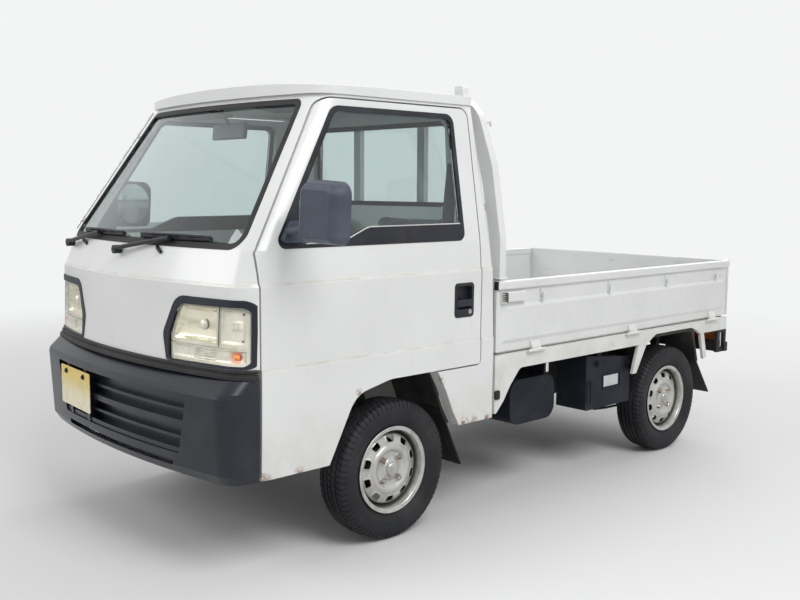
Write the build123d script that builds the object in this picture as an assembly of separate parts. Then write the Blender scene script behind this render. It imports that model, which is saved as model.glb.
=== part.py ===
"""Kei truck with a hollow cab, a drop-side bed, steered front wheels and opening doors.

The truck faces -Y, +X is its left side and +Z is up. Stations along the truck are counted
back from the front axle, at Y = 0. The last step moves every piece so that the origin lies
on the ground, on the centre plane, midway between the bumper and the tailgate.
"""
import math
import os
from functools import lru_cache

from build123d import *

# Overall sizes
LENGTH = 3295.0
WIDTH = 1395.0
WHEELBASE = 1900.0
FRONT_OVERHANG = 822.5
HALF_WIDTH = WIDTH / 2
REAR_END = LENGTH - FRONT_OVERHANG

# Gaps: round a door, round a gate, at a seat, and between turning ends
DOOR_GAP = 6.0
GATE_GAP = 6.0
SEAT_GAP = 0.3
END_GAP = 0.5

# Cab heights and stations
SILL_Z = 350.0
ARCH_TOP_Z = 622.0
LOW_CREASE_Z = 727.0
HIGH_CREASE_Z = 1012.0
BELT_Z = 1125.0
GUTTER_Z = 1663.0
NOSE_Y = -776.0
SHIELD_FOOT_Y = -718.0
SHIELD_TOP_Y = -342.0
CAB_REAR_Y = 541.0
CAB_REAR_TUCK = 14.0
BED_FRONT_Y = CAB_REAR_Y + 6.0

# Cab plan shape and wall thicknesses
NOSE_RADIUS = 2700.0
NOSE_CORNER = 95.0
CREASE_STEP = 3.0
BELT_TUCK = 14.0
ROOF_TUCK = 100.0
DOOR_THICK = 52.0
PILLAR_THICK = 38.0
FRONT_WALL = 30.0
BACK_WALL = 40.0
SEAL_WIDTH = 20.0
SEAL_PROUD = 2.0
SEAL_DEPTH = 16.0
GLASS_DEPTH = 7.0
GLASS_THICK = 5.0

# How far cutting shapes reach: ahead of the nose, past the windscreen, past the bumper's face,
# each side of the back wall, and inside and outside a cab side
AHEAD_Y = -900.0
PAST_SHIELD_Y = -200.0
PAST_BUMPER_Y = -640.0
BACK_NEAR_Y = 300.0
BACK_FAR_Y = 700.0
SIDE_IN_X = 300.0
SIDE_OUT_X = 900.0

# Door outline
DOOR_FRONT_Y = -622.0
DOOR_REAR_Y = 455.0
DOOR_TOP_Z = 1652.0

# Wheels and tyres
TYRE_R = 268.0
TYRE_WIDTH = 145.0
RIM_R = 168.0
RIM_WIDTH = 116.0
WHEEL_X = 610.0
HUB_BORE_R = 18.0
SPINDLE_GAP = 0.3
HAND_HOLES = 10

# Steering axis, from the lower ball joint to the strut's top
BALL_X = 560.0
BALL_Z = 195.0
STRUT_TOP_X = 440.0
STRUT_TOP_Z = 640.0
STRUT_R = 19.0

# Bed
BED_FLOOR_Z = 655.0
GATE_FACE_X = 688.0
GATE_THICK = 14.0
GATE_FOOT_Z = 658.0
GATE_TOP_Z = 954.0
GATE_RAIL_H = 38.0
GATE_RAIL_PROUD = 12.0
HINGE_R = 7.0
HINGE_Z = 646.0
HINGE_X = GATE_FACE_X + 16.0
TAIL_HINGE_Y = REAR_END - HINGE_R
TAIL_FACE_Y = TAIL_HINGE_Y - 14.0
SKIRT_X = 692.0
SKIRT_FOOT_Z = 578.0
SKIRT_THICK = 18.0

# Chassis
RAIL_X = 335.0
RAIL_WIDTH = 50.0
RAIL_HEIGHT = 80.0
FRONT_RAIL_TOP = 405.0
REAR_RAIL_TOP = 612.0


def point_on(plane, u, v, w=0.0):
    """A point of a side (YZ), front (XZ) or plan (XY) drawing, w along its normal axis."""
    return {"YZ": (w, u, v), "XZ": (u, w, v), "XY": (u, v, w)}[plane]


def outline_face(plane, corners, w):
    """A flat face whose corners are rows of u, v and corner radius."""
    edges = []
    ends = []
    count = len(corners)
    for i, (u, v, radius) in enumerate(corners):
        before = corners[i - 1]
        after = corners[(i + 1) % count]
        corner = Vector(u, v)
        to_before = (Vector(before[0], before[1]) - corner).normalized()
        to_after = (Vector(after[0], after[1]) - corner).normalized()
        half_angle = to_before.get_angle(to_after) / 2
        if radius < 0.01 or half_angle > 89.5:
            ends.append((corner, corner))
            continue
        reach = radius / math.tan(math.radians(half_angle))
        start = corner + to_before * reach
        end = corner + to_after * reach
        middle_way = (to_before + to_after).normalized()
        to_middle = radius / math.sin(math.radians(half_angle)) - radius
        middle = corner + middle_way * to_middle
        ends.append((start, end))
        edges.append(ThreePointArc(*[point_on(plane, p.X, p.Y, w) for p in (start, middle, end)]))
    for i in range(count):
        start = ends[i][1]
        end = ends[(i + 1) % count][0]
        if (end - start).length > 0.01:
            edges.append(Line(point_on(plane, start.X, start.Y, w), point_on(plane, end.X, end.Y, w)))
    return Face(Wire(edges))


def rectangle(u0, u1, v0, v1, radius=0):
    """A rectangle's outline, anticlockwise, with one corner radius."""
    return [(u0, v0, radius), (u1, v0, radius), (u1, v1, radius), (u0, v1, radius)]


def prism(plane, corners, low, high):
    """An outline made solid between two places on the axis that its drawing looks along."""
    way = point_on(plane, 0, 0, 1)
    return extrude(outline_face(plane, corners, low), amount=high - low, dir=way)


def inset(corners, amount):
    """The outline, listed anticlockwise, with every side moved inward by amount."""
    moved = []
    count = len(corners)
    for i, (u, v, radius) in enumerate(corners):
        before = corners[i - 1]
        after = corners[(i + 1) % count]
        way_in = (Vector(u, v) - Vector(before[0], before[1])).normalized()
        way_out = (Vector(after[0], after[1]) - Vector(u, v)).normalized()
        normal_in = Vector(-way_in.Y, way_in.X)
        normal_out = Vector(-way_out.Y, way_out.X)
        shift = (normal_in + normal_out) * (amount / (1 + normal_in.dot(normal_out)))
        turn = way_in.X * way_out.Y - way_in.Y * way_out.X
        new_radius = radius - amount if turn > 0 else radius + amount
        moved.append((u + shift.X, v + shift.Y, max(new_radius, 0.0) if radius > 0 else 0.0))
    return moved


def block(x0, x1, y0, y1, z0, z1):
    """A box between two corners."""
    return Pos((x0 + x1) / 2, (y0 + y1) / 2, (z0 + z1) / 2) * Box(x1 - x0, y1 - y0, z1 - z0)


def rod(start, end, radius):
    """A round bar between two points."""
    way = Vector(*end) - Vector(*start)
    return extrude(Plane(origin=start, z_dir=way) * Circle(radius), amount=way.length)


def mirrored(shape):
    """The same piece on the other side of the centre plane."""
    return mirror(shape, about=Plane.YZ)


def both_sides(shape):
    """Left piece and right piece, as one node."""
    return [shape, mirrored(shape)]


def joined(pieces):
    """Pieces that touch, fused into one solid or set of solids."""
    whole = pieces[0]
    for piece in pieces[1:]:
        whole = whole + piece
    return whole


def level_ring(z, nose, half, nose_radius, corner, rear, rear_corner):
    """One plan outline: a bowed nose, rounded corners, straight sides and a rear edge."""
    centre_y = nose + nose_radius
    corner_x = half - corner
    corner_y = centre_y - math.sqrt((nose_radius - corner) ** 2 - corner_x ** 2)
    scale = nose_radius / (nose_radius - corner)
    bend_x = corner_x * scale
    bend_y = centre_y + (corner_y - centre_y) * scale
    mid_x = (bend_x - corner_x) / corner + 1.0
    mid_y = (bend_y - corner_y) / corner
    mid_len = math.hypot(mid_x, mid_y)
    mid = (corner_x + corner * mid_x / mid_len, corner_y + corner * mid_y / mid_len)
    side_end = rear - rear_corner
    rear_x = half - rear_corner
    bulge = rear_corner * math.sqrt(0.5)
    rear_mid = (rear_x + bulge, side_end + bulge)
    edges = [
        ThreePointArc((-bend_x, bend_y, z), (0, nose, z), (bend_x, bend_y, z)),
        ThreePointArc((bend_x, bend_y, z), (*mid, z), (half, corner_y, z)),
        Line((half, corner_y, z), (half, side_end, z)),
        ThreePointArc((half, side_end, z), (*rear_mid, z), (rear_x, rear, z)),
        Line((rear_x, rear, z), (-rear_x, rear, z)),
        ThreePointArc((-rear_x, rear, z), (-rear_mid[0], rear_mid[1], z), (-half, side_end, z)),
        Line((-half, side_end, z), (-half, corner_y, z)),
        ThreePointArc((-half, corner_y, z), (-mid[0], mid[1], z), (-bend_x, bend_y, z)),
    ]
    return Face(Wire(edges))


# Cab levels: height, nose station, half width, rear station, rear corner radius
CAB_LEVELS = [
    (SILL_Z, NOSE_Y + 30, HALF_WIDTH - CREASE_STEP, CAB_REAR_Y, 20),
    (LOW_CREASE_Z - 5, NOSE_Y, HALF_WIDTH, CAB_REAR_Y, 20),
    (LOW_CREASE_Z + 5, NOSE_Y, HALF_WIDTH - CREASE_STEP, CAB_REAR_Y, 20),
    (HIGH_CREASE_Z - 6, NOSE_Y + 12, HALF_WIDTH, CAB_REAR_Y - 2, 34),
    (HIGH_CREASE_Z + 6, NOSE_Y + 20, HALF_WIDTH - 2 * CREASE_STEP, CAB_REAR_Y - 2, 34),
    (BELT_Z, SHIELD_FOOT_Y, HALF_WIDTH - BELT_TUCK, CAB_REAR_Y - 4, 45),
    (GUTTER_Z, SHIELD_TOP_Y, HALF_WIDTH - ROOF_TUCK, CAB_REAR_Y - CAB_REAR_TUCK, 85),
]


@lru_cache(maxsize=None)
def cab_form(front, low_side, high_side, rear):
    """The cab's outer shape, pulled in by a depth at the front, the sides and the rear."""
    rings = []
    for z, nose, half, rear_y, rear_corner in CAB_LEVELS:
        side = high_side if z > HIGH_CREASE_Z + 50 else low_side
        corner = max(NOSE_CORNER - side, 20)
        rings.append(level_ring(z, nose + front, half - side, NOSE_RADIUS - front, corner,
                                rear_y - rear, max(rear_corner - rear, 5)))
    return loft(rings, ruled=True)


def even_form(depth):
    """The cab's outer shape pulled in by the same depth all round."""
    return cab_form(depth, depth, depth, depth)


# Outlines in the side view, anticlockwise: station, height, corner radius
SHIELD_SLOPE = (SHIELD_TOP_Y - SHIELD_FOOT_Y) / (GUTTER_Z - BELT_Z)
PILLAR_FOOT_Z = BELT_Z - 7
PILLAR_SLOPE = 0.632
DOOR_TOP_FRONT_Y = DOOR_FRONT_Y + PILLAR_SLOPE * (DOOR_TOP_Z - PILLAR_FOOT_Z)
DOOR_CUT = [
    (DOOR_FRONT_Y, SILL_Z - 1, 6),
    (-327, SILL_Z - 1, 14),
    (-205, ARCH_TOP_Z - 36, 110),
    (-39, ARCH_TOP_Z, 150),
    (DOOR_REAR_Y, ARCH_TOP_Z, 25),
    (DOOR_REAR_Y, DOOR_TOP_Z, 45),
    (DOOR_TOP_FRONT_Y, DOOR_TOP_Z, 90),
    (DOOR_FRONT_Y, PILLAR_FOOT_Z, 20),
]
WINDOW_FOOT_Z = BELT_Z + 3
WINDOW_TOP_Z = DOOR_TOP_Z - 30
WINDOW_FRONT_Y = DOOR_FRONT_Y + 66
WINDOW_REAR_Y = DOOR_REAR_Y - 89
WINDOW_TOP_FRONT_Y = WINDOW_FRONT_Y + PILLAR_SLOPE * (WINDOW_TOP_Z - WINDOW_FOOT_Z)
WINDOW_CUT = [
    (WINDOW_FRONT_Y, WINDOW_FOOT_Z, 28),
    (WINDOW_REAR_Y, WINDOW_FOOT_Z, 35),
    (WINDOW_REAR_Y, WINDOW_TOP_Z, 40),
    (WINDOW_TOP_FRONT_Y, WINDOW_TOP_Z, 60),
]
SAIL_Y = WINDOW_FRONT_Y + 122
PANE_FRONT_Z = WINDOW_TOP_Z - SEAL_WIDTH - (WINDOW_TOP_FRONT_Y + 12 - SAIL_Y) / PILLAR_SLOPE
PANE_CUT = [
    (SAIL_Y, WINDOW_FOOT_Z + 14, 6),
    (-262, WINDOW_FOOT_Z + 14, 20),
    (-137, WINDOW_FOOT_Z + 64, 20),
    (WINDOW_REAR_Y - SEAL_WIDTH, WINDOW_FOOT_Z + 66, 12),
    (WINDOW_REAR_Y - SEAL_WIDTH, WINDOW_TOP_Z - SEAL_WIDTH, 28),
    (WINDOW_TOP_FRONT_Y + 12, WINDOW_TOP_Z - SEAL_WIDTH, 45),
    (SAIL_Y, PANE_FRONT_Z, 6),
]
HANDLE_FRONT_Y = DOOR_REAR_Y - 159
HANDLE_REAR_Y = DOOR_REAR_Y - 50
HANDLE_FOOT_Z = 825
HANDLE_TOP_Z = 962
HANDLE_RIM = 12
HANDLE_CUT = rectangle(HANDLE_FRONT_Y, HANDLE_REAR_Y, HANDLE_FOOT_Z, HANDLE_TOP_Z, 16)


# Outlines in the front view, anticlockwise: across, height, corner radius
LAMP_CUT = [(325, 738, 10), (692, 738, 12), (694, 965, 24), (372, 966, 68), (303, 830, 50)]
SHIELD_CUT = [(-626, BELT_Z, 50), (626, BELT_Z, 50), (522, 1646, 42), (-522, 1646, 42)]
BACK_WINDOW_CUT = [(-455, 1252, 45), (455, 1252, 45), (440, 1612, 45), (-440, 1612, 45)]
BACK_SPLIT_X = 500.0
LENS_CUT = [(340, 745, 10), (688, 747, 20), (688, 941, 20), (385, 939, 50), (337, 828, 40)]
LENS_SPLIT_X = (571, 577)
LENS_SPLIT_Z = (803, 808)
LAMP_END_Y = DOOR_FRONT_Y - 6
BULKHEAD_OUT = 25.0
BULKHEAD_IN = 50.0
STRIKER_X = HALF_WIDTH - 40.0
STRIKER_Z = 890.0
STRIKER_HALF = (5.0, 10.0)
STRIKER_REACH = 14.0


def cab_shell_pieces():
    """Front panel, windscreen frame, side panels and back wall, cut from one cab shell."""
    shell = even_form(0) - cab_form(FRONT_WALL, DOOR_THICK, PILLAR_THICK, BACK_WALL)
    side = HALF_WIDTH + 20
    doors = prism("YZ", DOOR_CUT, -side, side)

    panel_zone = block(-side, side, AHEAD_Y, DOOR_FRONT_Y, LOW_CREASE_Z + 8, BELT_Z - 10)
    bulkhead = (even_form(BULKHEAD_OUT) - even_form(BULKHEAD_IN)) & block(
        -side, side, AHEAD_Y, PAST_BUMPER_Y, FRONT_RAIL_TOP + 6, LOW_CREASE_Z + 30)
    front_panel = (shell & panel_zone) + bulkhead
    for hole in both_sides(prism("XZ", LAMP_CUT, AHEAD_Y, LAMP_END_Y)):
        front_panel = front_panel - hole

    frame_zone = prism("YZ", [
        (AHEAD_Y, BELT_Z - 10, 0),
        (DOOR_FRONT_Y + 30, BELT_Z - 10, 0),
        (DOOR_TOP_FRONT_Y + 70, DOOR_TOP_Z - 30, 0),
        (DOOR_REAR_Y - 60, DOOR_TOP_Z - 30, 0),
        (DOOR_REAR_Y - 60, GUTTER_Z + 10, 0),
        (AHEAD_Y, GUTTER_Z + 10, 0),
    ], -side, side)
    shield_frame = (shell & frame_zone) - doors - prism("XZ", SHIELD_CUT, AHEAD_Y, PAST_SHIELD_Y)

    side_zone = prism("YZ", [
        (200, ARCH_TOP_Z + 40, 0),
        (209, ARCH_TOP_Z, 0),
        (254, 544, 60),
        (295, 453, 60),
        (331, 391, 0),
        (CAB_REAR_Y + 13, 391, 20),
        (CAB_REAR_Y + 13, GUTTER_Z + 10, 0),
        (DOOR_REAR_Y - 60, GUTTER_Z + 10, 0),
        (DOOR_REAR_Y - 60, ARCH_TOP_Z + 40, 0),
    ], -side, side)
    split = block(-BACK_SPLIT_X, BACK_SPLIT_X, 0, CAB_REAR_Y + 20, 0, GUTTER_Z + 20)
    side_panels = (shell & side_zone) - split - doors
    striker = block(STRIKER_X - STRIKER_HALF[0], STRIKER_X + STRIKER_HALF[0],
                    DOOR_REAR_Y - STRIKER_REACH, DOOR_REAR_Y + 4,
                    STRIKER_Z - STRIKER_HALF[1], STRIKER_Z + STRIKER_HALF[1])
    side_panels = side_panels + striker + mirrored(striker)
    back_zone = block(-BACK_SPLIT_X, BACK_SPLIT_X, CAB_REAR_Y - BACK_WALL - 20, CAB_REAR_Y + 20,
                      BED_FLOOR_Z - 60, GUTTER_Z + 10)
    back_wall = (shell & back_zone) - prism("XZ", BACK_WINDOW_CUT, BACK_NEAR_Y, BACK_FAR_Y)
    return front_panel, shield_frame, side_panels, back_wall


def surface_band(plane, outer, inner, near, far, front_depth, back_depth):
    """A ring between two outlines that follows the cab's surface between two depths."""
    skin = even_form(front_depth) - even_form(back_depth)
    band = prism(plane, outer, near, far)
    if inner:
        band = band - prism(plane, inner, near, far)
    return skin & band


def cab_glass():
    """Windscreen and rear window, laid into their rubber seals."""
    edge = SEAL_WIDTH + SEAT_GAP
    front = surface_band("XZ", inset(SHIELD_CUT, edge), None, AHEAD_Y, PAST_SHIELD_Y,
                         GLASS_DEPTH, GLASS_DEPTH + GLASS_THICK)
    back = surface_band("XZ", inset(BACK_WINDOW_CUT, edge), None, BACK_NEAR_Y, BACK_FAR_Y,
                        GLASS_DEPTH, GLASS_DEPTH + GLASS_THICK)
    return [front, back]


def window_seals():
    """Rubber seals round the windscreen and the rear window."""
    front = surface_band("XZ", inset(SHIELD_CUT, SEAT_GAP), inset(SHIELD_CUT, SEAL_WIDTH),
                         AHEAD_Y, PAST_SHIELD_Y, -SEAL_PROUD, SEAL_DEPTH)
    back = surface_band("XZ", inset(BACK_WINDOW_CUT, SEAT_GAP), inset(BACK_WINDOW_CUT, SEAL_WIDTH),
                        BACK_NEAR_Y, BACK_FAR_Y, -SEAL_PROUD, SEAL_DEPTH)
    return [front, back]


def cab_roof():
    """A crowned roof panel with its rain gutter, hollow below."""
    # station, crown height above the gutter
    stations = [(-470, 4), (-342, 34), (-200, 60), (-40, 75), (240, 79), (560, 70)]
    edge = 13.0
    half = HALF_WIDTH - ROOF_TUCK + 8

    def crown(drop, half_span, edge_height):
        faces = []
        for station, rise in stations:
            top = max(rise - drop, 2) + edge_height
            wire = Wire([
                Line((-half_span, station, GUTTER_Z - 40), (half_span, station, GUTTER_Z - 40)),
                Line((half_span, station, GUTTER_Z - 40), (half_span, station, GUTTER_Z + edge_height)),
                ThreePointArc((half_span, station, GUTTER_Z + edge_height),
                              (0, station, GUTTER_Z + top),
                              (-half_span, station, GUTTER_Z + edge_height)),
                Line((-half_span, station, GUTTER_Z + edge_height), (-half_span, station, GUTTER_Z - 40)),
            ])
            faces.append(Face(wire))
        return loft(faces)

    gutter_ring = level_ring(GUTTER_Z, SHIELD_TOP_Y - 16, half, NOSE_RADIUS, NOSE_CORNER,
                             CAB_REAR_Y - CAB_REAR_TUCK + 4, 90)
    gutter = extrude(gutter_ring, amount=120)
    roof = crown(0, HALF_WIDTH, edge) & gutter
    hollow = crown(22, half - 40, 1) & block(-half + 40, half - 40, SHIELD_TOP_Y + 70, CAB_REAR_Y - 40,
                                             GUTTER_Z - 1, GUTTER_Z + 100)
    return roof - hollow


FLOOR_PLATE = 16.0
RISER_Y = -345.0
DECK_Z = 660.0
WHEEL_WALL_X = 372.0


def cab_floor():
    """Footwell floor, riser, seat deck and the panels beside the front wheels, one pressing."""
    half = HALF_WIDTH - DOOR_THICK - 8
    foot_top = FRONT_RAIL_TOP + FLOOR_PLATE
    rear = CAB_REAR_Y - BACK_WALL - 6
    tub = prism("YZ", [
        (NOSE_Y, foot_top - FLOOR_PLATE, 0),
        (RISER_Y, foot_top - FLOOR_PLATE, 0),
        (RISER_Y, DECK_Z - FLOOR_PLATE, 0),
        (rear, DECK_Z - FLOOR_PLATE, 0),
        (rear, DECK_Z, 0),
        (RISER_Y - FLOOR_PLATE, DECK_Z, 0),
        (RISER_Y - FLOOR_PLATE, foot_top, 0),
        (NOSE_Y, foot_top, 0),
    ], -half, half)
    tub = tub & cab_form(BULKHEAD_IN + SEAT_GAP, DOOR_THICK + 8, DOOR_THICK + 8, BACK_WALL + SEAT_GAP)
    wheel_wall = block(WHEEL_WALL_X, WHEEL_WALL_X + 12, RISER_Y - 4, 420, foot_top - FLOOR_PLATE,
                       DECK_Z - FLOOR_PLATE + 4)
    return joined([tub] + both_sides(wheel_wall))


def door(outline_gap):
    """The left door: full thickness, with its window cut out."""
    shell = even_form(0) - cab_form(FRONT_WALL, DOOR_THICK, PILLAR_THICK, BACK_WALL)
    body = shell & prism("YZ", inset(DOOR_CUT, outline_gap), SIDE_IN_X, SIDE_OUT_X)
    body = body - prism("YZ", WINDOW_CUT, SIDE_IN_X, SIDE_OUT_X)
    pocket = surface_band("YZ", HANDLE_CUT, None, SIDE_IN_X, SIDE_OUT_X, -5, 30)
    slot = block(SIDE_IN_X, STRIKER_X + STRIKER_HALF[0] + DOOR_GAP,
                 DOOR_REAR_Y - STRIKER_REACH - DOOR_GAP, DOOR_REAR_Y,
                 STRIKER_Z - STRIKER_HALF[1] - END_GAP, STRIKER_Z + STRIKER_HALF[1] + END_GAP)
    return body - pocket - slot


def door_trim():
    """Window rubber, belt filler and pull handle of the left door, in black plastic."""
    seal = surface_band("YZ", inset(WINDOW_CUT, SEAT_GAP), PANE_CUT, SIDE_IN_X, SIDE_OUT_X, -SEAL_PROUD,
                        SEAL_DEPTH)
    cup = surface_band("YZ", inset(HANDLE_CUT, SEAT_GAP), None, SIDE_IN_X, SIDE_OUT_X, -2.5, 30 - SEAT_GAP)
    near = HANDLE_FRONT_Y + HANDLE_RIM
    far = HANDLE_REAR_Y - HANDLE_RIM
    recess = surface_band("YZ", rectangle(near, far, HANDLE_FOOT_Z + 33, HANDLE_TOP_Z - HANDLE_RIM, 10),
                          None, SIDE_IN_X, SIDE_OUT_X, -10, 22)
    pull = surface_band("YZ", rectangle(near, far, HANDLE_FOOT_Z + 43, HANDLE_FOOT_Z + 71, 4),
                        None, SIDE_IN_X, SIDE_OUT_X, -4, 4)
    return [seal, (cup - recess) + pull]


MIRROR_FOLD_DEG = 80.0
MIRROR_INNER_X = 780.0
MIRROR_OUTER_X = 1000.0
MIRROR_FOOT_Z = 1150.0
MIRROR_TOP_Z = 1360.0
MIRROR_BACK_Y = WINDOW_FRONT_Y + 74
MIRROR_PIVOT = (715.0, WINDOW_FRONT_Y + 58)


def mirror_head():
    """The mirror housing, domed towards the front, its glass side facing back."""
    outline = [(MIRROR_INNER_X + 4, MIRROR_FOOT_Z + 4, 34), (MIRROR_OUTER_X - 14, MIRROR_FOOT_Z, 34),
               (MIRROR_OUTER_X, MIRROR_TOP_Z - 12, 44), (MIRROR_INNER_X + 20, MIRROR_TOP_Z, 44)]
    # how far the outline is pulled in, how far ahead of the glass side
    rings = [(30, 68), (18, 62), (8, 48), (2, 24), (0, 0)]
    return loft([outline_face("XZ", inset(outline, pull), MIRROR_BACK_Y - ahead)
                 for pull, ahead in rings], ruled=True)


def door_mirror(fold):
    """A door mirror on its arm, which stands on a foot in the window's front corner."""
    foot = surface_band("YZ", [(-536, 1149, 12), (-440, 1149, 12), (-440, 1222, 20), (-484, 1222, 20)],
                        None, SIDE_IN_X, SIDE_OUT_X, -26, -SEAL_PROUD - SEAT_GAP)
    arm = joined([rod((660, WINDOW_FRONT_Y + 64, 1180), (800, WINDOW_FRONT_Y + 48, 1196), 17),
                  mirror_head()])
    arm = arm.rotate(Axis((*MIRROR_PIVOT, 0), (0, 0, 1)), fold)
    return (arm - even_form(-SEAL_PROUD - SEAT_GAP)) + foot


def door_pane():
    """The left door's window glass."""
    return surface_band("YZ", inset(PANE_CUT, SEAT_GAP), None, SIDE_IN_X, SIDE_OUT_X, GLASS_DEPTH,
                        GLASS_DEPTH + GLASS_THICK)


PLATE_X = -288.0
PLATE_WIDTH = 300.0
PLATE_HEIGHT = 154.0
PLATE_FOOT_Z = 470.0
PLATE_BOLTS = 178.0
# Bumper levels: height, nose station, half width
BUMPER_LEVELS = [
    (352, -FRONT_OVERHANG + 36, HALF_WIDTH - 14),
    (386, -FRONT_OVERHANG + 14, HALF_WIDTH - 3),
    (646, -FRONT_OVERHANG, HALF_WIDTH),
    (662, -FRONT_OVERHANG + 5, HALF_WIDTH),
    (703, NOSE_Y + 4, HALF_WIDTH),
]
BUMPER_RADIUS = 3600.0
BUMPER_CORNER = 78.0
BUMPER_WALL = 26.0
GRILLE_HALF = 496.0
GRILLE_CUT = [(-440, 430, 14), (440, 430, 14), (GRILLE_HALF, 634, 14), (-GRILLE_HALF, 634, 14)]


def bumper_form(depth):
    """The bumper's outer shape pulled in by a depth."""
    rings = []
    for z, nose, half in BUMPER_LEVELS:
        rings.append(level_ring(z, nose + depth, half - depth, BUMPER_RADIUS,
                                BUMPER_CORNER - depth, DOOR_FRONT_Y - 2, 5))
    return loft(rings, ruled=True)


def front_bumper():
    """Moulded bumper with a slatted grille recess and a lower air slot."""
    shell = bumper_form(0) - bumper_form(BUMPER_WALL)
    lid = bumper_form(0) & block(-800, 800, AHEAD_Y, DOOR_FRONT_Y, 690, 703)
    shell = shell + lid
    shell = shell - even_form(BULKHEAD_OUT - SEAT_GAP)
    shell = shell - prism("XZ", GRILLE_CUT, AHEAD_Y, PAST_BUMPER_Y)
    slot = [(-400, 382, 6), (400, 382, 6), (410, 402, 6), (-410, 402, 6)]
    shell = shell - prism("XZ", slot, AHEAD_Y, PAST_BUMPER_Y)
    half = GRILLE_HALF + 9
    back = (bumper_form(38) - bumper_form(50)) & block(-half, half, AHEAD_Y, PAST_BUMPER_Y, 420, 645)
    recess = prism("XZ", GRILLE_CUT, AHEAD_Y, PAST_BUMPER_Y)
    rim = prism("XZ", inset(GRILLE_CUT, -10), AHEAD_Y, PAST_BUMPER_Y)
    sides = (bumper_form(10) - bumper_form(44)) & (rim - recess)
    pieces = [shell, back, sides]
    for x in (PLATE_X - PLATE_BOLTS / 2, PLATE_X + PLATE_BOLTS / 2):
        pieces.append((bumper_form(2) - bumper_form(44)) & block(
            x - 12, x + 12, AHEAD_Y, PAST_BUMPER_Y, 425, 640))
    # slat height, thickness, depth behind the bumper face
    for height, thick, depth in [(584, 10, 18), (538, 22, 6), (484, 10, 18), (440, 18, 6)]:
        slat = (bumper_form(depth) - bumper_form(44)) & block(
            -half, half, AHEAD_Y, PAST_BUMPER_Y, height - thick / 2, height + thick / 2)
        pieces.append(slat & prism("XZ", inset(GRILLE_CUT, -4), AHEAD_Y, PAST_BUMPER_Y))
    return joined(pieces)


def headlamps():
    """Black lamp frames with their reflector backs, and the lenses in three fields."""
    frame = surface_band("XZ", inset(LAMP_CUT, SEAT_GAP), LENS_CUT, AHEAD_Y, LAMP_END_Y, -3, 34)
    back = surface_band("XZ", inset(LAMP_CUT, SEAT_GAP), None, AHEAD_Y, LAMP_END_Y, 33, 42)
    frame = frame + back
    inner, outer, foot, top = 330, 700, 730, 960
    fields = [
        rectangle(inner, LENS_SPLIT_X[0], LENS_SPLIT_Z[1], top),
        rectangle(LENS_SPLIT_X[1], outer, LENS_SPLIT_Z[1], top),
        rectangle(inner, outer, foot, LENS_SPLIT_Z[0]),
    ]
    glass = surface_band("XZ", inset(LENS_CUT, SEAT_GAP), None, AHEAD_Y, LAMP_END_Y, 2, 8)
    lenses = []
    for field in fields:
        part = glass & prism("XZ", field, AHEAD_Y, LAMP_END_Y)
        lenses += both_sides(part)
    return both_sides(frame), lenses


def number_plate():
    """A blank number plate on two spacers, square to the bowed bumper where it sits."""
    bow = PLATE_X ** 2 / (2 * BUMPER_RADIUS)
    face_y = -FRONT_OVERHANG + bow - 4
    half = PLATE_WIDTH / 2
    top = PLATE_FOOT_Z + PLATE_HEIGHT
    plate = prism("XZ", rectangle(PLATE_X - half, PLATE_X + half, PLATE_FOOT_Z, top, 8),
                  face_y, face_y + 2.5)
    pieces = [plate]
    for x in (PLATE_X - PLATE_BOLTS / 2, PLATE_X + PLATE_BOLTS / 2):
        pieces.append(rod((x, face_y + 2, top - 20), (x, face_y + 40, top - 20), 8))
    turned = joined(pieces).rotate(Axis((PLATE_X, face_y, 0), (0, 0, 1)),
                                   math.degrees(PLATE_X / BUMPER_RADIUS))
    return turned - bumper_form(2 - SEAT_GAP)


def shield_y(x, z):
    """Station of the windscreen's outer surface at a place across and a height."""
    return SHIELD_FOOT_Y + SHIELD_SLOPE * (z - BELT_Z) + x ** 2 / (2 * NOSE_RADIUS)


BLADE_START = 110.0
BLADE_LENGTHS = 4
BLADE_R = 9.0
BLADE_STAND = 4.7


def wipers():
    """Two wiper arms with blades parked along the foot of the windscreen, and washer nozzles."""
    pieces = []
    # pivot across, blade tip across
    for pivot, tip in [(-575, -70), (-42, 470)]:
        foot_z = BELT_Z - 24
        blade_z = BELT_Z + 31
        middle = (pivot + tip) / 2 + 60
        skin = shield_y(pivot, foot_z) + 3
        elbow = (pivot, skin - 26, foot_z + 4)
        hub = rod((pivot, skin - 1, foot_z), (pivot, skin - 30, foot_z), 16)
        held_at = (middle, shield_y(middle, blade_z) - 26, blade_z)
        arm = rod(elbow, held_at, 8)
        step = (tip - pivot - BLADE_START) / BLADE_LENGTHS
        path = []
        for i in range(BLADE_LENGTHS + 1):
            x = pivot + BLADE_START + i * step
            path.append((x, shield_y(x, blade_z) - BLADE_STAND, blade_z))
        blade = joined([rod(path[i], path[i + 1], BLADE_R) for i in range(BLADE_LENGTHS)])
        clip = rod(held_at, (middle, shield_y(middle, blade_z) - 2, blade_z), 8)
        pieces.append(joined([hub, arm, blade, clip]))
    return pieces


def pillar_point(z, out):
    """A point off the right windscreen pillar's rounded corner, out from its surface."""
    share = (z - BELT_Z) / (GUTTER_Z - BELT_Z)
    half = HALF_WIDTH - BELT_TUCK + share * (BELT_TUCK - ROOF_TUCK)
    nose = SHIELD_FOOT_Y + share * (SHIELD_TOP_Y - SHIELD_FOOT_Y)
    corner_x = half - NOSE_CORNER
    centre_y = nose + NOSE_RADIUS
    corner_y = centre_y - math.sqrt((NOSE_RADIUS - NOSE_CORNER) ** 2 - corner_x ** 2)
    turn = math.radians(50)
    reach = NOSE_CORNER + out
    return (-corner_x - reach * math.cos(turn), corner_y - reach * math.sin(turn), z)


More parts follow.
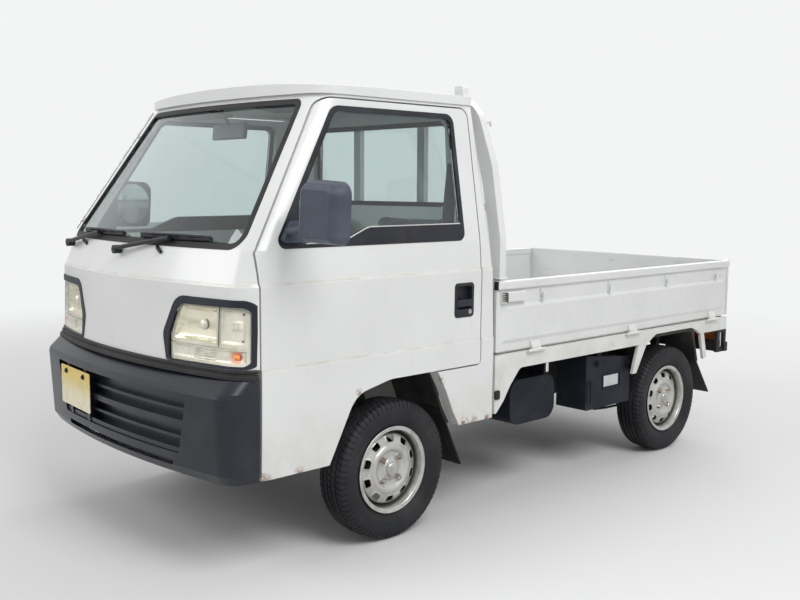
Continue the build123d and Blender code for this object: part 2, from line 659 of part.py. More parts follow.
def antenna():
    """A thin rod aerial on two clips along the right windscreen pillar."""
    stand = 16.0
    pieces = [rod(pillar_point(BELT_Z + 30, stand), pillar_point(GUTTER_Z - 12, stand), 4)]
    for z in (BELT_Z + 60, BELT_Z + 420):
        pieces.append(rod(pillar_point(z, 3.4), pillar_point(z, stand), 5))
    return joined(pieces)


DRIVER_X = -330.0
WHEEL_CENTRE = (DRIVER_X, -290.0, 1015.0)
COLUMN_TILT_DEG = 60.0
BOSS_DEPTH = 36.0


def column_point(along):
    """A point on the steering column's axis, along it from the steering wheel's centre."""
    tilt = math.radians(COLUMN_TILT_DEG)
    return (WHEEL_CENTRE[0], WHEEL_CENTRE[1] - along * math.cos(tilt),
            WHEEL_CENTRE[2] - along * math.sin(tilt))


def dashboard():
    """The dashboard under the windscreen, with an instrument hood in front of the driver."""
    half = HALF_WIDTH - DOOR_THICK - 20
    body = prism("YZ", [
        (-640, 830, 20),
        (-520, 820, 30),
        (-430, 900, 30),
        (-440, 1040, 40),
        (-560, 1090, 40),
        (-660, 1096, 10),
        (-660, 860, 0),
    ], -half + 40, half - 40)
    hood = prism("YZ", [(-600, 1060, 0), (-486, 1020, 10), (-480, 1108, 30), (-600, 1110, 20)],
                 DRIVER_X - 170, DRIVER_X + 170)
    inside = cab_form(FRONT_WALL + SEAT_GAP, DOOR_THICK + 16, DOOR_THICK + 16, BACK_WALL)
    tunnel = rod(column_point(-20), column_point(620), 54)
    dash = ((body + hood) & inside) - tunnel
    for lamp in both_sides(prism("XZ", inset(LAMP_CUT, -4), AHEAD_Y, LAMP_END_Y)):
        dash = dash - (lamp & (even_form(0) - even_form(46)))
    return dash


def steering_column():
    """The steering column from the floor to the wheel, with its shroud and stalks."""
    top = BOSS_DEPTH + END_GAP
    floor_z = FRONT_RAIL_TOP + FLOOR_PLATE
    foot = (WHEEL_CENTRE[2] - floor_z) / math.sin(math.radians(COLUMN_TILT_DEG))
    shaft = rod(column_point(top), column_point(foot), 16)
    shroud = rod(column_point(top + 12), column_point(top + 210), 46)
    stalk_at = column_point(top + 50)
    stalk = rod((stalk_at[0] - 150, stalk_at[1], stalk_at[2]), (stalk_at[0] + 150, stalk_at[1],
                                                               stalk_at[2]), 7)
    flange = block(DRIVER_X - 60, DRIVER_X + 60, column_point(foot)[1] - 30,
                   column_point(foot)[1] + 60, floor_z + SEAT_GAP, floor_z + 14)
    below = block(DRIVER_X - 100, DRIVER_X + 100, NOSE_Y, RISER_Y, floor_z - 60, floor_z + SEAT_GAP)
    return joined([shaft, shroud, stalk, flange]) - below


def steering_wheel():
    """Three-spoke steering wheel."""
    tilt = math.radians(COLUMN_TILT_DEG)
    up = Vector(0, math.cos(tilt), math.sin(tilt))
    plane = Plane(origin=WHEEL_CENTRE, x_dir=(1, 0, 0), z_dir=tuple(up))
    section = Plane(origin=(182, 0, 0), x_dir=(1, 0, 0), z_dir=(0, -1, 0)) * RegularPolygon(14, 8)
    rim = plane * revolve(section, Axis.Z)
    boss = plane * (Pos(0, 0, -BOSS_DEPTH / 2) * Cylinder(44, BOSS_DEPTH))
    spokes = []
    for angle in (10, 170, 270):
        bar = plane * (Rot(0, 0, angle) * (Pos(108, 0, -8) * Box(146, 28, 10)))
        spokes.append(bar)
    return joined([rim, boss] + spokes)


CONSOLE_HALF = 62.0
# gear lever and hand brake: across, station and height of the foot, then of the grip, and radius
LEVERS = [
    (-34.0, -225.0, DECK_Z + 40, -275.0, 870.0, 7.0),
    (26.0, -60.0, DECK_Z + 40, -185.0, 768.0, 13.0),
]
KNOB_R = 21.0
VISOR_Z = 1640.0
VISOR_HALF = 175.0


def cab_fittings():
    """The console with its two levers, the two folded sun visors and the inside mirror."""
    foot = DECK_Z + SEAT_GAP
    console = prism("YZ", [
        (RISER_Y + 5, foot, 0),
        (120, foot, 0),
        (110, DECK_Z + 50, 15),
        (-240, DECK_Z + 66, 20),
        (RISER_Y + 20, DECK_Z + 50, 20),
    ], -CONSOLE_HALF, CONSOLE_HALF)
    levers = [rod((x, foot_y, foot_z), (x, grip_y, grip_z), radius)
              for x, foot_y, foot_z, grip_y, grip_z, radius in LEVERS]
    knob = Pos(LEVERS[0][0], LEVERS[0][3], LEVERS[0][4]) * Sphere(KNOB_R)
    root = SHIELD_TOP_Y + FRONT_WALL - 12
    behind_header = even_form(FRONT_WALL + SEAT_GAP)
    visor = prism("YZ", [
        (root, VISOR_Z, 0),
        (root + 170, VISOR_Z - 24, 5),
        (root + 170, VISOR_Z - 10, 5),
        (root, VISOR_Z + 16, 0),
    ], DRIVER_X - VISOR_HALF, DRIVER_X + VISOR_HALF) & behind_header
    stem = rod((0, root, VISOR_Z + 14), (0, root + 50, VISOR_Z - 66), 7) & behind_header
    glass = prism("YZ", [
        (root + 38, VISOR_Z - 120, 6),
        (root + 56, VISOR_Z - 124, 6),
        (root + 66, VISOR_Z - 62, 6),
        (root + 48, VISOR_Z - 58, 6),
    ], -110, 110)
    return [joined([console, knob] + levers), visor, mirrored(visor), stem + glass]


CUSHION_HALF = 235.0
BACKREST_HALF = 225.0


def seats():
    """Two seat cushions and two raked backrests, as plain soft solids."""
    pieces = []
    for centre in (DRIVER_X, -DRIVER_X):
        cushion = prism("YZ", [
            (-190, DECK_Z + SEAT_GAP, 20),
            (300, DECK_Z + SEAT_GAP, 20),
            (318, 760, 35),
            (-190, 800, 45),
        ], centre - CUSHION_HALF, centre + CUSHION_HALF)
        back = prism("YZ", [
            (330, DECK_Z + SEAT_GAP, 10),
            (400, DECK_Z + SEAT_GAP, 10),
            (478, 1230, 40),
            (388, 1238, 40),
        ], centre - BACKREST_HALF, centre + BACKREST_HALF)
        pieces += [cushion, back]
    return pieces


BED_REAR_Y = TAIL_FACE_Y - GATE_THICK - GATE_GAP
REAR_BAR_Y = BED_REAR_Y - 62.0
REAR_BAR_HALF = 15.0
FUEL_BEARER_Y = 1000.0
BATTERY_BEARER_Y = 1350.0
ARCH_BEARER_Y = WHEELBASE - 280
SILENCER_BEARER_Y = WHEELBASE + 250
BEARERS_Y = (BED_FRONT_Y + 73, FUEL_BEARER_Y, BATTERY_BEARER_Y, ARCH_BEARER_Y, SILENCER_BEARER_Y,
             REAR_BAR_Y)
RIB_COUNT = 11
RIB_HALF = 30.0
RIB_EDGE = 50.0


def bed_floor():
    """Ribbed steel floor on cross bearers that reach the side skirts."""
    inner_half = GATE_FACE_X - GATE_THICK - 8
    plate = block(-inner_half, inner_half, BED_FRONT_Y, BED_REAR_Y, BED_FLOOR_Z - 14, BED_FLOOR_Z - 6)
    pieces = [plate]
    pitch = 2 * (inner_half - RIB_EDGE) / (RIB_COUNT - 1)
    for i in range(RIB_COUNT):
        x = -inner_half + RIB_EDGE + i * pitch
        pieces.append(block(x - RIB_HALF, x + RIB_HALF, BED_FRONT_Y + 20, BED_REAR_Y - 20,
                            BED_FLOOR_Z - 8, BED_FLOOR_Z))
    reach = SKIRT_X - SKIRT_THICK - SEAT_GAP
    for y in BEARERS_Y:
        pieces.append(block(-reach, reach, y - 25, y + 25, REAR_RAIL_TOP, BED_FLOOR_Z - 13))
    return joined(pieces)


KNUCKLE_HALF = 30.0
EAR_HALF = 13.0
LUG_DROP = 5.5
STRAP_RISE = 30.0
PRESS_FOOT_Z = 687.0
PRESS_TOP_Z = 856.0
PRESS_SLOPE = 18.0
SIDE_HINGES_Y = (801.0, 1534.0, 2275.0)
TAIL_HINGES_X = (-480.0, 0.0, 480.0)


def hinge_ears(plane, face, pin, places):
    """Bed-side ears on both sides of each gate hinge knuckle; pin is how far out the hinge lies."""
    lug_outline = rectangle(face - 2, pin, HINGE_Z - LUG_DROP, HINGE_Z - 1)
    pieces = []
    for place in places:
        for end in (-1, 1):
            middle = place + end * (KNUCKLE_HALF + END_GAP + EAR_HALF)
            low = middle - EAR_HALF
            high = middle + EAR_HALF
            pieces.append(rod(point_on(plane, pin, HINGE_Z, low), point_on(plane, pin, HINGE_Z, high),
                              HINGE_R))
            pieces.append(prism(plane, lug_outline, low, high))
    return pieces


def hinge_knuckles(plane, face, pin, places):
    """A gate's hinge knuckles, each on its strap."""
    strap = [
        (face - 2, GATE_FOOT_Z + 4, 0),
        (pin, HINGE_Z - 2, 0),
        (pin + 4, HINGE_Z + 5, 0),
        (face + 5, GATE_FOOT_Z + STRAP_RISE, 0),
        (face - 2, GATE_FOOT_Z + STRAP_RISE, 0),
    ]
    pieces = []
    for place in places:
        low = place - KNUCKLE_HALF
        high = place + KNUCKLE_HALF
        pieces.append(rod(point_on(plane, pin, HINGE_Z, low), point_on(plane, pin, HINGE_Z, high), HINGE_R))
        pieces.append(prism(plane, strap, low, high))
    return pieces


def gate_pressing(plane, near, far, face, proud):
    """The raised field of a gate's panel, its edges sloped, between two places along the gate."""
    foot = outline_face(plane, rectangle(near, far, PRESS_FOOT_Z, PRESS_TOP_Z, 6), face - 1)
    slope = PRESS_SLOPE
    crown = outline_face(plane, rectangle(near + slope, far - slope, PRESS_FOOT_Z + slope,
                                          PRESS_TOP_Z - slope, 6), face + proud)
    return loft([foot, crown], ruled=True)


def bed_skirts():
    """White side skirts with the rear arch, the stays beside it and the rear sill."""
    rear = TAIL_FACE_Y - 6
    outline = [
        (BED_FRONT_Y, 400, 3),
        (559, 404, 6),
        (602, 448, 30),
        (645, 510, 30),
        (708, 578, 40),
        (WHEELBASE - 220, SKIRT_FOOT_Z, 6),
        (WHEELBASE - 188, 598, 20),
        (WHEELBASE - 148, 618, 20),
        (WHEELBASE + 185, 618, 20),
        (WHEELBASE + 240, 600, 20),
        (WHEELBASE + 271, SKIRT_FOOT_Z, 6),
        (rear, SKIRT_FOOT_Z, 0),
        (rear, HINGE_Z - 1, 0),
        (BED_FRONT_Y, HINGE_Z - 1, 0),
    ]
    skirt = prism("YZ", outline, SKIRT_X - SKIRT_THICK, SKIRT_X)
    stay_top = SKIRT_FOOT_Z + 12
    front_stay = prism("YZ", [
        (WHEELBASE - 291, stay_top, 0),
        (WHEELBASE - 342, 440, 0),
        (WHEELBASE - 308, 440, 0),
        (WHEELBASE - 216, stay_top, 0),
    ], SKIRT_X - SKIRT_THICK, SKIRT_X - 4)
    rear_stay = prism("YZ", [
        (WHEELBASE + 278, stay_top, 0),
        (WHEELBASE + 322, 437, 0),
        (WHEELBASE + 354, 446, 0),
        (WHEELBASE + 316, stay_top, 0),
    ], SKIRT_X - SKIRT_THICK, SKIRT_X - 4)
    stop = rod((SKIRT_X - 2, BED_FRONT_Y + 10, 478), (SKIRT_X + 6, BED_FRONT_Y + 10, 478), 10)
    left = joined([skirt, front_stay, rear_stay, stop] + hinge_ears("XZ", SKIRT_X, HINGE_X, SIDE_HINGES_Y))
    sill = block(-SKIRT_X + SKIRT_THICK, SKIRT_X - SKIRT_THICK, BED_REAR_Y + SEAT_GAP, rear,
                 SKIRT_FOOT_Z, HINGE_Z - 1)
    return joined(both_sides(left) + [sill] + hinge_ears("YZ", rear, TAIL_HINGE_Y, TAIL_HINGES_X))


def gate_hooks(face, places):
    """Rope hooks under the top rail of a gate, in the gate's own drawing across, along, up."""
    profile = [
        (face - 3, 862, 0),
        (face + 22, 862, 0),
        (face + 22, 892, 0),
        (face + 15, 892, 0),
        (face + 15, 869, 0),
        (face + 8, 869, 0),
        (face + 8, 906, 0),
        (face - 3, 906, 0),
    ]
    return [prism("XZ", profile, place - 7, place + 7) for place in places]


def side_gate():
    """The left drop gate: pressed panel, top rail, rope hooks, latch lever and hinge knuckles."""
    front = BED_FRONT_Y + GATE_GAP
    rear = TAIL_FACE_Y - GATE_THICK - 8
    face = GATE_FACE_X
    panel = block(face - GATE_THICK, face, front, rear, GATE_FOOT_Z, GATE_TOP_Z - 10)
    pressing = gate_pressing("YZ", front + 28, rear - 28, face, 7)
    rail = prism("XZ", [
        (face - GATE_THICK - 4, GATE_TOP_Z - GATE_RAIL_H, 4),
        (face + GATE_RAIL_PROUD, GATE_TOP_Z - GATE_RAIL_H, 8),
        (face + GATE_RAIL_PROUD, GATE_TOP_Z, 8),
        (face - GATE_THICK - 4, GATE_TOP_Z, 6),
    ], front, rear)
    pieces = [panel, pressing, rail]
    pieces += gate_hooks(face, (839, 1333, 1818, 2297))
    pieces.append(block(face - 2, face + 22, 600, 720, 868, 904))
    pieces.append(block(face - 2, face + 14, 575, 606, 862, 906))
    pieces += hinge_knuckles("XZ", face, HINGE_X, SIDE_HINGES_Y)
    return joined(pieces)


def tailgate():
    """The drop tailgate with its pressing, top rail, hinge knuckles and corner latches."""
    half = GATE_FACE_X
    face = TAIL_FACE_Y
    panel = block(-half, half, face - GATE_THICK, face, GATE_FOOT_Z, GATE_TOP_Z - 10)
    pressing = gate_pressing("XZ", -half + 60, half - 60, face, 6)
    rail = prism("YZ", [
        (face - GATE_THICK, GATE_TOP_Z - GATE_RAIL_H, 4),
        (face + 10, GATE_TOP_Z - GATE_RAIL_H, 5),
        (face + 10, GATE_TOP_Z, 5),
        (face - GATE_THICK, GATE_TOP_Z, 4),
    ], -half, half)
    pieces = [panel, pressing, rail]
    pieces += hinge_knuckles("YZ", face, TAIL_HINGE_Y, TAIL_HINGES_X)
    for end in (-1, 1):
        a, b = sorted((end * (half - 12), end * (half - 120)))
        pieces.append(block(a, b, face - 2, face + 14, 872, 902))
    return joined(pieces)


GUARD_DEPTH = 38.0
GUARD_BAR_X = 215.0
FRONT_WALL_HALF = 640.0


def guard_frame():
    """Guard frame behind the cab on the bed's front wall: bent posts, cross rails, two bars."""
    y0 = BED_FRONT_Y + 18
    y1 = y0 + GUARD_DEPTH
    post = prism("XZ", [
        (616, BED_FLOOR_Z, 0),
        (664, BED_FLOOR_Z, 0),
        (664, GATE_TOP_Z + 8, 0),
        (692, GATE_TOP_Z + 8, 0),
        (692, 1125, 200),
        (640, 1430, 300),
        (560, 1645, 160),
        (474, 1712, 40),
        (466, 1757, 6),
        (424, 1757, 6),
        (424, 1700, 30),
        (520, 1600, 120),
        (590, 1350, 300),
        (632, 1130, 100),
        (638, GATE_TOP_Z + 60, 20),
        (616, GATE_TOP_Z + 10, 20),
    ], y0, y1)
    bend = (572, y1 + 22, 1610)
    hook = joined([rod((572, y1 - 4, 1602), bend, 6), rod(bend, (572, y1 + 30, 1590), 6)])
    upper_foot, upper_top = 1602, 1640
    lower_foot, lower_top = 1240, 1270
    bar = block(GUARD_BAR_X - 22, GUARD_BAR_X + 22, y0 + 6, y1 - 6, lower_top - 8, upper_foot + 10)
    upper = block(-520, 520, y0 + 2, y1 - 2, upper_foot, upper_top)
    lower = block(-606, 606, y0 + 2, y1 - 2, lower_foot, lower_top)
    half = FRONT_WALL_HALF
    wall = block(-half, half, BED_FRONT_Y + 4, y0, BED_FLOOR_Z - 6, GATE_TOP_Z - 4)
    wall_rail = block(-half, half, BED_FRONT_Y + 4, y1, GATE_TOP_Z - 40, GATE_TOP_Z - 4)
    side = joined([post, hook, bar])
    return joined(both_sides(side) + [upper, lower, wall, wall_rail])


def rear_bar():
    """Rear corner brackets with gate buffers, and the cross bar that carries the tail lamps."""
    rear = TAIL_FACE_Y - 6
    front = REAR_BAR_Y - 20
    foot = 457
    outline = [(front, foot, 6), (rear, foot, 12), (rear, SKIRT_FOOT_Z, 0), (front, SKIRT_FOOT_Z, 0)]
    window = rectangle(front + 22, rear - 24, foot + 21, SKIRT_FOOT_Z - 14, 10)
    plate = prism("YZ", outline, SKIRT_X - 16, SKIRT_X) - prism("YZ", window, SKIRT_X - 20, SKIRT_X + 4)
    stop = block(SKIRT_X - 1, SKIRT_X + 12, rear - 33.5, rear - 2, foot + 2, foot + 51)
    near = REAR_BAR_Y - REAR_BAR_HALF
    far = REAR_BAR_Y + REAR_BAR_HALF
    bar = block(-SKIRT_X + 1, SKIRT_X - 1, near, far, foot + 5, foot + 63)
    posts = []
    for x in (-450, 450):
        posts.append(block(x - 20, x + 20, near, far, foot + 62, REAR_RAIL_TOP))
    return joined(both_sides(joined([plate, stop])) + [bar] + posts)


def tail_lamps():
    """Rectangular tail lamps on the cross bar."""
    lamp = block(476, 664, REAR_BAR_Y + REAR_BAR_HALF + SEAT_GAP, TAIL_FACE_Y - 12, 468, 566)
    return both_sides(lamp)


HOUSE_THICK = 14.0


def wheel_houses():
    """Inner panels over the rear wheels and behind the front wheels."""
    top = REAR_RAIL_TOP - SEAT_GAP
    rear = prism("YZ", [
        (WHEELBASE - 300, 450, 0),
        (WHEELBASE - 250, top, 40),
        (WHEELBASE + 230, top, 40),
        (WHEELBASE + 290, 430, 0),
        (WHEELBASE + 276, 424, 0),
        (WHEELBASE + 218, top - HOUSE_THICK, 40),
        (WHEELBASE - 238, top - HOUSE_THICK, 40),
        (WHEELBASE - 288, 444, 0),
    ], 500, SKIRT_X - SKIRT_THICK - SEAT_GAP)
    front = prism("YZ", [
        (194, DECK_Z - FLOOR_PLATE - SEAT_GAP, 0),
        (240, 548, 60),
        (281, 456, 60),
        (317, 391, 0),
        (327, 394, 0),
        (291, 460, 60),
        (250, 552, 60),
        (206, DECK_Z - FLOOR_PLATE - SEAT_GAP, 0),
    ], WHEEL_WALL_X + 12 + SEAT_GAP, HALF_WIDTH - DOOR_THICK - 4)
    return both_sides(rear) + both_sides(front)


def mud_flaps():
    """Rubber flaps hung from the wheel house panels, behind the front and rear wheels."""
    front = prism("YZ", [(280.7, 455.9, 0), (275.5, 452.9, 0), (311.5, 387.9, 0), (398, 205, 0),
                         (404, 207, 0), (316.7, 390.9, 0)], 530, HALF_WIDTH - DOOR_THICK - 4)
    rear = prism("YZ", [
        (WHEELBASE + 276.2, 423.6, 0),
        (WHEELBASE + 410, 243, 0),
        (WHEELBASE + 416, 246, 0),
        (WHEELBASE + 282.1, 426.2, 0),
    ], 540, SKIRT_X - SKIRT_THICK - SEAT_GAP)
    return both_sides(front) + both_sides(rear)


ARM_MEMBER_Z = 215.0


def chassis_frame():
    """Two kicked-up side rails with cross members."""
    ramp_start = 440.0
    ramp_end = 640.0
    front = -690.0
    rear = REAR_BAR_Y - 40
    rail = prism("YZ", [
        (front, FRONT_RAIL_TOP - RAIL_HEIGHT, 0),
        (ramp_start + 20, FRONT_RAIL_TOP - RAIL_HEIGHT, 60),
        (ramp_end + 20, REAR_RAIL_TOP - RAIL_HEIGHT, 60),
        (rear, REAR_RAIL_TOP - RAIL_HEIGHT, 0),
        (rear, REAR_RAIL_TOP - SEAT_GAP, 0),
        (ramp_end, REAR_RAIL_TOP - SEAT_GAP, 60),
        (ramp_start, FRONT_RAIL_TOP, 60),
        (front, FRONT_RAIL_TOP, 0),
    ], RAIL_X - RAIL_WIDTH / 2, RAIL_X + RAIL_WIDTH / 2)
    pieces = both_sides(rail)
    # cross members: station, lowest height
    for y, z in [(front + 30, 325), (-320, 325), (300, 325), (900, 540), (BATTERY_BEARER_Y, 540),
                 (rear - 30, 540)]:
        pieces.append(block(-RAIL_X, RAIL_X, y - 25, y + 25, z, z + 55))
    pieces.append(block(-RAIL_X, RAIL_X, -45, 45, ARM_MEMBER_Z, ARM_MEMBER_Z + 60))
    drop = block(RAIL_X - RAIL_WIDTH / 2, RAIL_X + RAIL_WIDTH / 2, -45, 45, ARM_MEMBER_Z,
                 FRONT_RAIL_TOP - RAIL_HEIGHT + 5)
    return joined(pieces + both_sides(drop))


LEAF_HALF = 430.0
DRUM_IN_X = WHEEL_X - 22.0
BACKPLATE_R = 112.0


def strut_point(height):
    """The point of the steering axis at a height."""
    share = (height - BALL_Z) / (STRUT_TOP_Z - BALL_Z)
    return (BALL_X + share * (STRUT_TOP_X - BALL_X), 0, height)


def front_struts():
    """Strut tops with their coil springs, and the lower arms, left and right."""
    tower = block(0, HALF_WIDTH, -80, 80, 500, DECK_Z - FLOOR_PLATE - SEAT_GAP)
    spring = rod(strut_point(572), strut_point(680), 46) & tower
    bore = rod(strut_point(540), strut_point(700), STRUT_R + SEAT_GAP)
    root = RAIL_X + RAIL_WIDTH / 2
    arm = prism("XY", [(root, -60, 0), (BALL_X + 6, -12, 10), (BALL_X + 6, 12, 10), (root, 60, 0)],
                BALL_Z - 22, BALL_Z - 2)
    bracket = block(RAIL_X - RAIL_WIDTH / 2, root + 5, -60, 60, BALL_Z - 22, ARM_MEMBER_Z)
    return both_sides(spring - bore) + both_sides(arm + bracket)


def knuckle():
    """The left knuckle: strut leg, spindle and ball joint boss, all turned by the steering."""
    leg = rod(strut_point(300), strut_point(632), STRUT_R)
    body = prism("XZ", [(538, BALL_Z + 16, 8), (DRUM_IN_X - 8, BALL_Z + 16, 0), (DRUM_IN_X - 8, 330, 0),
                        (508, 330, 8)], -34, 34)
    ball = rod(strut_point(BALL_Z + 2.4), strut_point(BALL_Z + 30), 14)
    spindle = rod((DRUM_IN_X - 12, 0, TYRE_R), (WHEEL_X + 26, 0, TYRE_R), HUB_BORE_R - SPINDLE_GAP)
    shield = rod((DRUM_IN_X - 10, 0, TYRE_R), (DRUM_IN_X - 6, 0, TYRE_R), BACKPLATE_R)
    return joined([body, leg, ball, spindle, shield])


def rear_axle():
    """Dead axle tube with spindles, spring seats, and leaf springs up to their hangers."""
    y = WHEELBASE
    tube = rod((-560, y, TYRE_R), (560, y, TYRE_R), 32)
    pieces = [tube]
    for side in (-1, 1):
        pieces.append(rod((side * 558, y, TYRE_R), (side * (WHEEL_X + 26), y, TYRE_R),
                          HUB_BORE_R - SPINDLE_GAP))
        pieces.append(rod((side * 556, y, TYRE_R), (side * (DRUM_IN_X - 6), y, TYRE_R), BACKPLATE_R))
        leaf = prism("YZ", [
            (y - LEAF_HALF, 420, 0),
            (y - 300, 345, 300),
            (y, 300, 500),
            (y + 300, 345, 300),
            (y + LEAF_HALF, 420, 0),
            (y + LEAF_HALF, 434, 0),
            (y + 300, 361, 300),
            (y, 322, 500),
            (y - 300, 361, 300),
            (y - LEAF_HALF, 434, 0),
        ], side * RAIL_X - 30, side * RAIL_X + 30)
        pieces.append(leaf)
        pieces.append(block(side * RAIL_X - 34, side * RAIL_X + 34, y - 50, y + 50, 262, 330))
        for end in (-LEAF_HALF + 18, LEAF_HALF - 18):
            pieces.append(block(side * RAIL_X - 20, side * RAIL_X + 20, y + end - 16, y + end + 16, 422,
                                REAR_RAIL_TOP - RAIL_HEIGHT - SEAT_GAP))
    return joined(pieces)


def tyre():
    """A plain tyre about the X axis at the origin, sidewalls bulged, shoulders rounded."""
    half = TYRE_WIDTH / 2
    bead = RIM_WIDTH / 2 - 11
    points = [
        (bead, RIM_R - 12),
        (bead + 4, RIM_R + 4),
        (half - 2, RIM_R + 36),
        (half, RIM_R + 58),
        (half - 5, TYRE_R - 18),
        (half - 17, TYRE_R - 3),
        (half - 34, TYRE_R),
    ]
    right = [(x, 0, r) for x, r in points]
    left = [(-x, 0, r) for x, r in reversed(points)]
    ring = Face(Wire(Polyline(*right, *left, close=True)))
    return revolve(ring, Axis.X)


def rim():
    """A pressed steel wheel with hand holes, hub and centre cap, about the X axis at the origin."""
    edge = RIM_WIDTH / 2
    r = RIM_R
    # out from the wheel's middle, radius
    barrel = [
        (-edge, r), (-edge + 10, r - 12.5), (-edge + 30, r - 12.5), (-edge + 42, r - 28),
        (edge - 46, r - 28), (edge - 34, r - 12.5), (edge - 10, r - 12.5), (edge, r),
        (edge - 4, r - 18), (edge - 34, r - 18), (edge - 48, r - 34), (-edge + 44, r - 34),
        (-edge + 30, r - 18), (-edge + 4, r - 18),
    ]
    disc = [
        (12, r - 26), (19, r - 20), (36, r - 46), (44, r - 70), (44, r - 88), (34, r - 100),
        (36, 42), (47, 38), (52, 0), (27, 0), (27, 62), (38, r - 84), (38, r - 72),
        (30, r - 50),
    ]
    barrel_ring = Face(Wire(Polyline(*[(x, 0, h) for x, h in barrel], close=True)))
    disc_ring = Face(Wire(Polyline(*[(x, 0, h) for x, h in disc], close=True)))
    wheel = revolve(barrel_ring, Axis.X) + revolve(disc_ring, Axis.X)
    hole = prism("YZ", [(-15, 103, 0), (15, 103, 0), (14, 127, 0), (-14, 127, 0)], 10, 70)
    for i in range(HAND_HOLES):
        wheel = wheel - hole.rotate(Axis.X, i * 360 / HAND_HOLES)
    inner = DRUM_IN_X - WHEEL_X
    hub = rod((inner + 2, 0, 0), (28, 0, 0), 46)
    drum = rod((inner, 0, 0), (24, 0, 0), 100) - rod((inner - 1, 0, 0), (14, 0, 0), 88)
    bore = rod((inner - 1, 0, 0), (26.5, 0, 0), HUB_BORE_R)
    return joined([wheel, drum, hub]) - bore


ENGINE_FRONT_Y = 1380.0
ENGINE_LENGTH = 390.0


def engine_block():
    """The engine and gearbox as one plain block slung under the rails on two mounts."""
    front = ENGINE_FRONT_Y
    rear = ENGINE_FRONT_Y + ENGINE_LENGTH
    mass = prism("YZ", [(front, 260, 20), (rear, 300, 20), (rear, 500, 20), (front, 520, 20)], -280, 240)
    top = REAR_RAIL_TOP - RAIL_HEIGHT - SEAT_GAP
    mounts = [block(x0, x1, front + 150, front + 210, 470, top) for x0, x1 in ((-350, -270), (230, 350))]
    return joined([mass] + mounts)


def exhaust():
    """Silencer across the back, hung from a floor bearer, with its tail pipe."""
    y = SILENCER_BEARER_Y - 20
    silencer = rod((-300, y, 420), (290, y, 420), 64)
    pipe = rod((-250, y + 20, 400), (-250, y + 220, 380), 20)
    hanger = block(-20, 20, y, y + 30, 470, REAR_RAIL_TOP - SEAT_GAP)
    return joined([silencer, pipe, hanger])


def tanks():
    """Fuel tank and battery box hung from floor bearers under the bed's left side."""
    top = REAR_RAIL_TOP - SEAT_GAP
    fuel = prism("YZ", rectangle(FUEL_BEARER_Y - 260, FUEL_BEARER_Y + 50, 300, 500, 60), 385, 610)
    fuel_strap = block(400, 600, FUEL_BEARER_Y - 15, FUEL_BEARER_Y + 15, 440, top)
    near = BATTERY_BEARER_Y - 110
    far = BATTERY_BEARER_Y + 250
    box = prism("YZ", [(near, 297, 10), (far, 297, 10), (far, 520, 10), (near, 558, 10)], 475, 646)
    lug = block(480, 640, BATTERY_BEARER_Y - 15, BATTERY_BEARER_Y + 15, 530, top)
    return [fuel + fuel_strap, box + lug]


def save(name, shape):
    """Write one node, moved from the front-axle frame to the truck's own origin."""
    whole = Compound(children=list(shape)) if isinstance(shape, (list, tuple)) else shape
    moved = Pos(0, FRONT_OVERHANG - LENGTH / 2, 0) * whole
    export_step(moved, f"parts/{name}.step")


def at_wheel(shape, side, y):
    """A wheel piece, drawn for the left side about the origin, put on its axle."""
    piece = shape if side > 0 else mirrored(shape)
    return Pos(side * WHEEL_X, y, TYRE_R) * piece


def build():
    """Make and write every node."""
    os.makedirs("parts", exist_ok=True)
    front_panel, shield_frame, side_panels, back_wall = cab_shell_pieces()
    lamp_frames, lamp_lenses = headlamps()
    left_door = door(DOOR_GAP)
    pane = door_pane()
    trim = door_trim()
    nodes = {
        "cab_front_panel": front_panel,
        "windscreen_frame": shield_frame,
        "cab_sides": side_panels,
        "cab_back_wall": back_wall,
        "cab_floor": cab_floor(),
        "cab_roof": cab_roof(),
        "cab_glass": cab_glass(),
        "window_seals": window_seals(),
        "front_bumper": front_bumper(),
        "headlamp_frames": lamp_frames,
        "headlamp_lenses": lamp_lenses,
        "number_plate": number_plate(),
        "wipers": wipers(),
        "antenna": antenna(),
        "dashboard": dashboard(),
        "cab_fittings": cab_fittings(),
        "seats": seats(),
        "steering_column": steering_column(),
        "steering_wheel": steering_wheel(),
        "bed_floor": bed_floor(),
        "bed_skirts": bed_skirts(),
        "guard_frame": guard_frame(),
        "rear_bar": rear_bar(),
        "tail_lamps": tail_lamps(),
        "wheel_houses": wheel_houses(),
        "mud_flaps": mud_flaps(),
        "chassis_frame": chassis_frame(),
        "front_struts": front_struts(),
        "rear_axle": rear_axle(),
        "engine_block": engine_block(),
        "exhaust": exhaust(),
        "tanks": tanks(),
        "gate_left": side_gate(),
        "gate_right": mirrored(side_gate()),
        "tailgate": tailgate(),
        "knuckle_left": knuckle(),
        "knuckle_right": mirrored(knuckle()),
        "door_left": left_door,
        "door_right": mirrored(left_door),
        "door_glass_left": pane,
        "door_glass_right": mirrored(pane),
        "door_trim_left": trim,
        "door_trim_right": [mirrored(piece) for piece in trim],
        "mirror_left": door_mirror(0),
        "mirror_right": mirrored(door_mirror(MIRROR_FOLD_DEG)),
    }
    for place, y in (("front", 0.0), ("rear", WHEELBASE)):
        for name, side in (("left", 1), ("right", -1)):
            nodes[f"tyre_{place}_{name}"] = at_wheel(tyre(), side, y)
            nodes[f"rim_{place}_{name}"] = at_wheel(rim(), side, y)
    for name, shape in nodes.items():
        save(name, shape)


build()
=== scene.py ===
import math

import bmesh
import bpy
from mathutils import Euler, Matrix, Vector


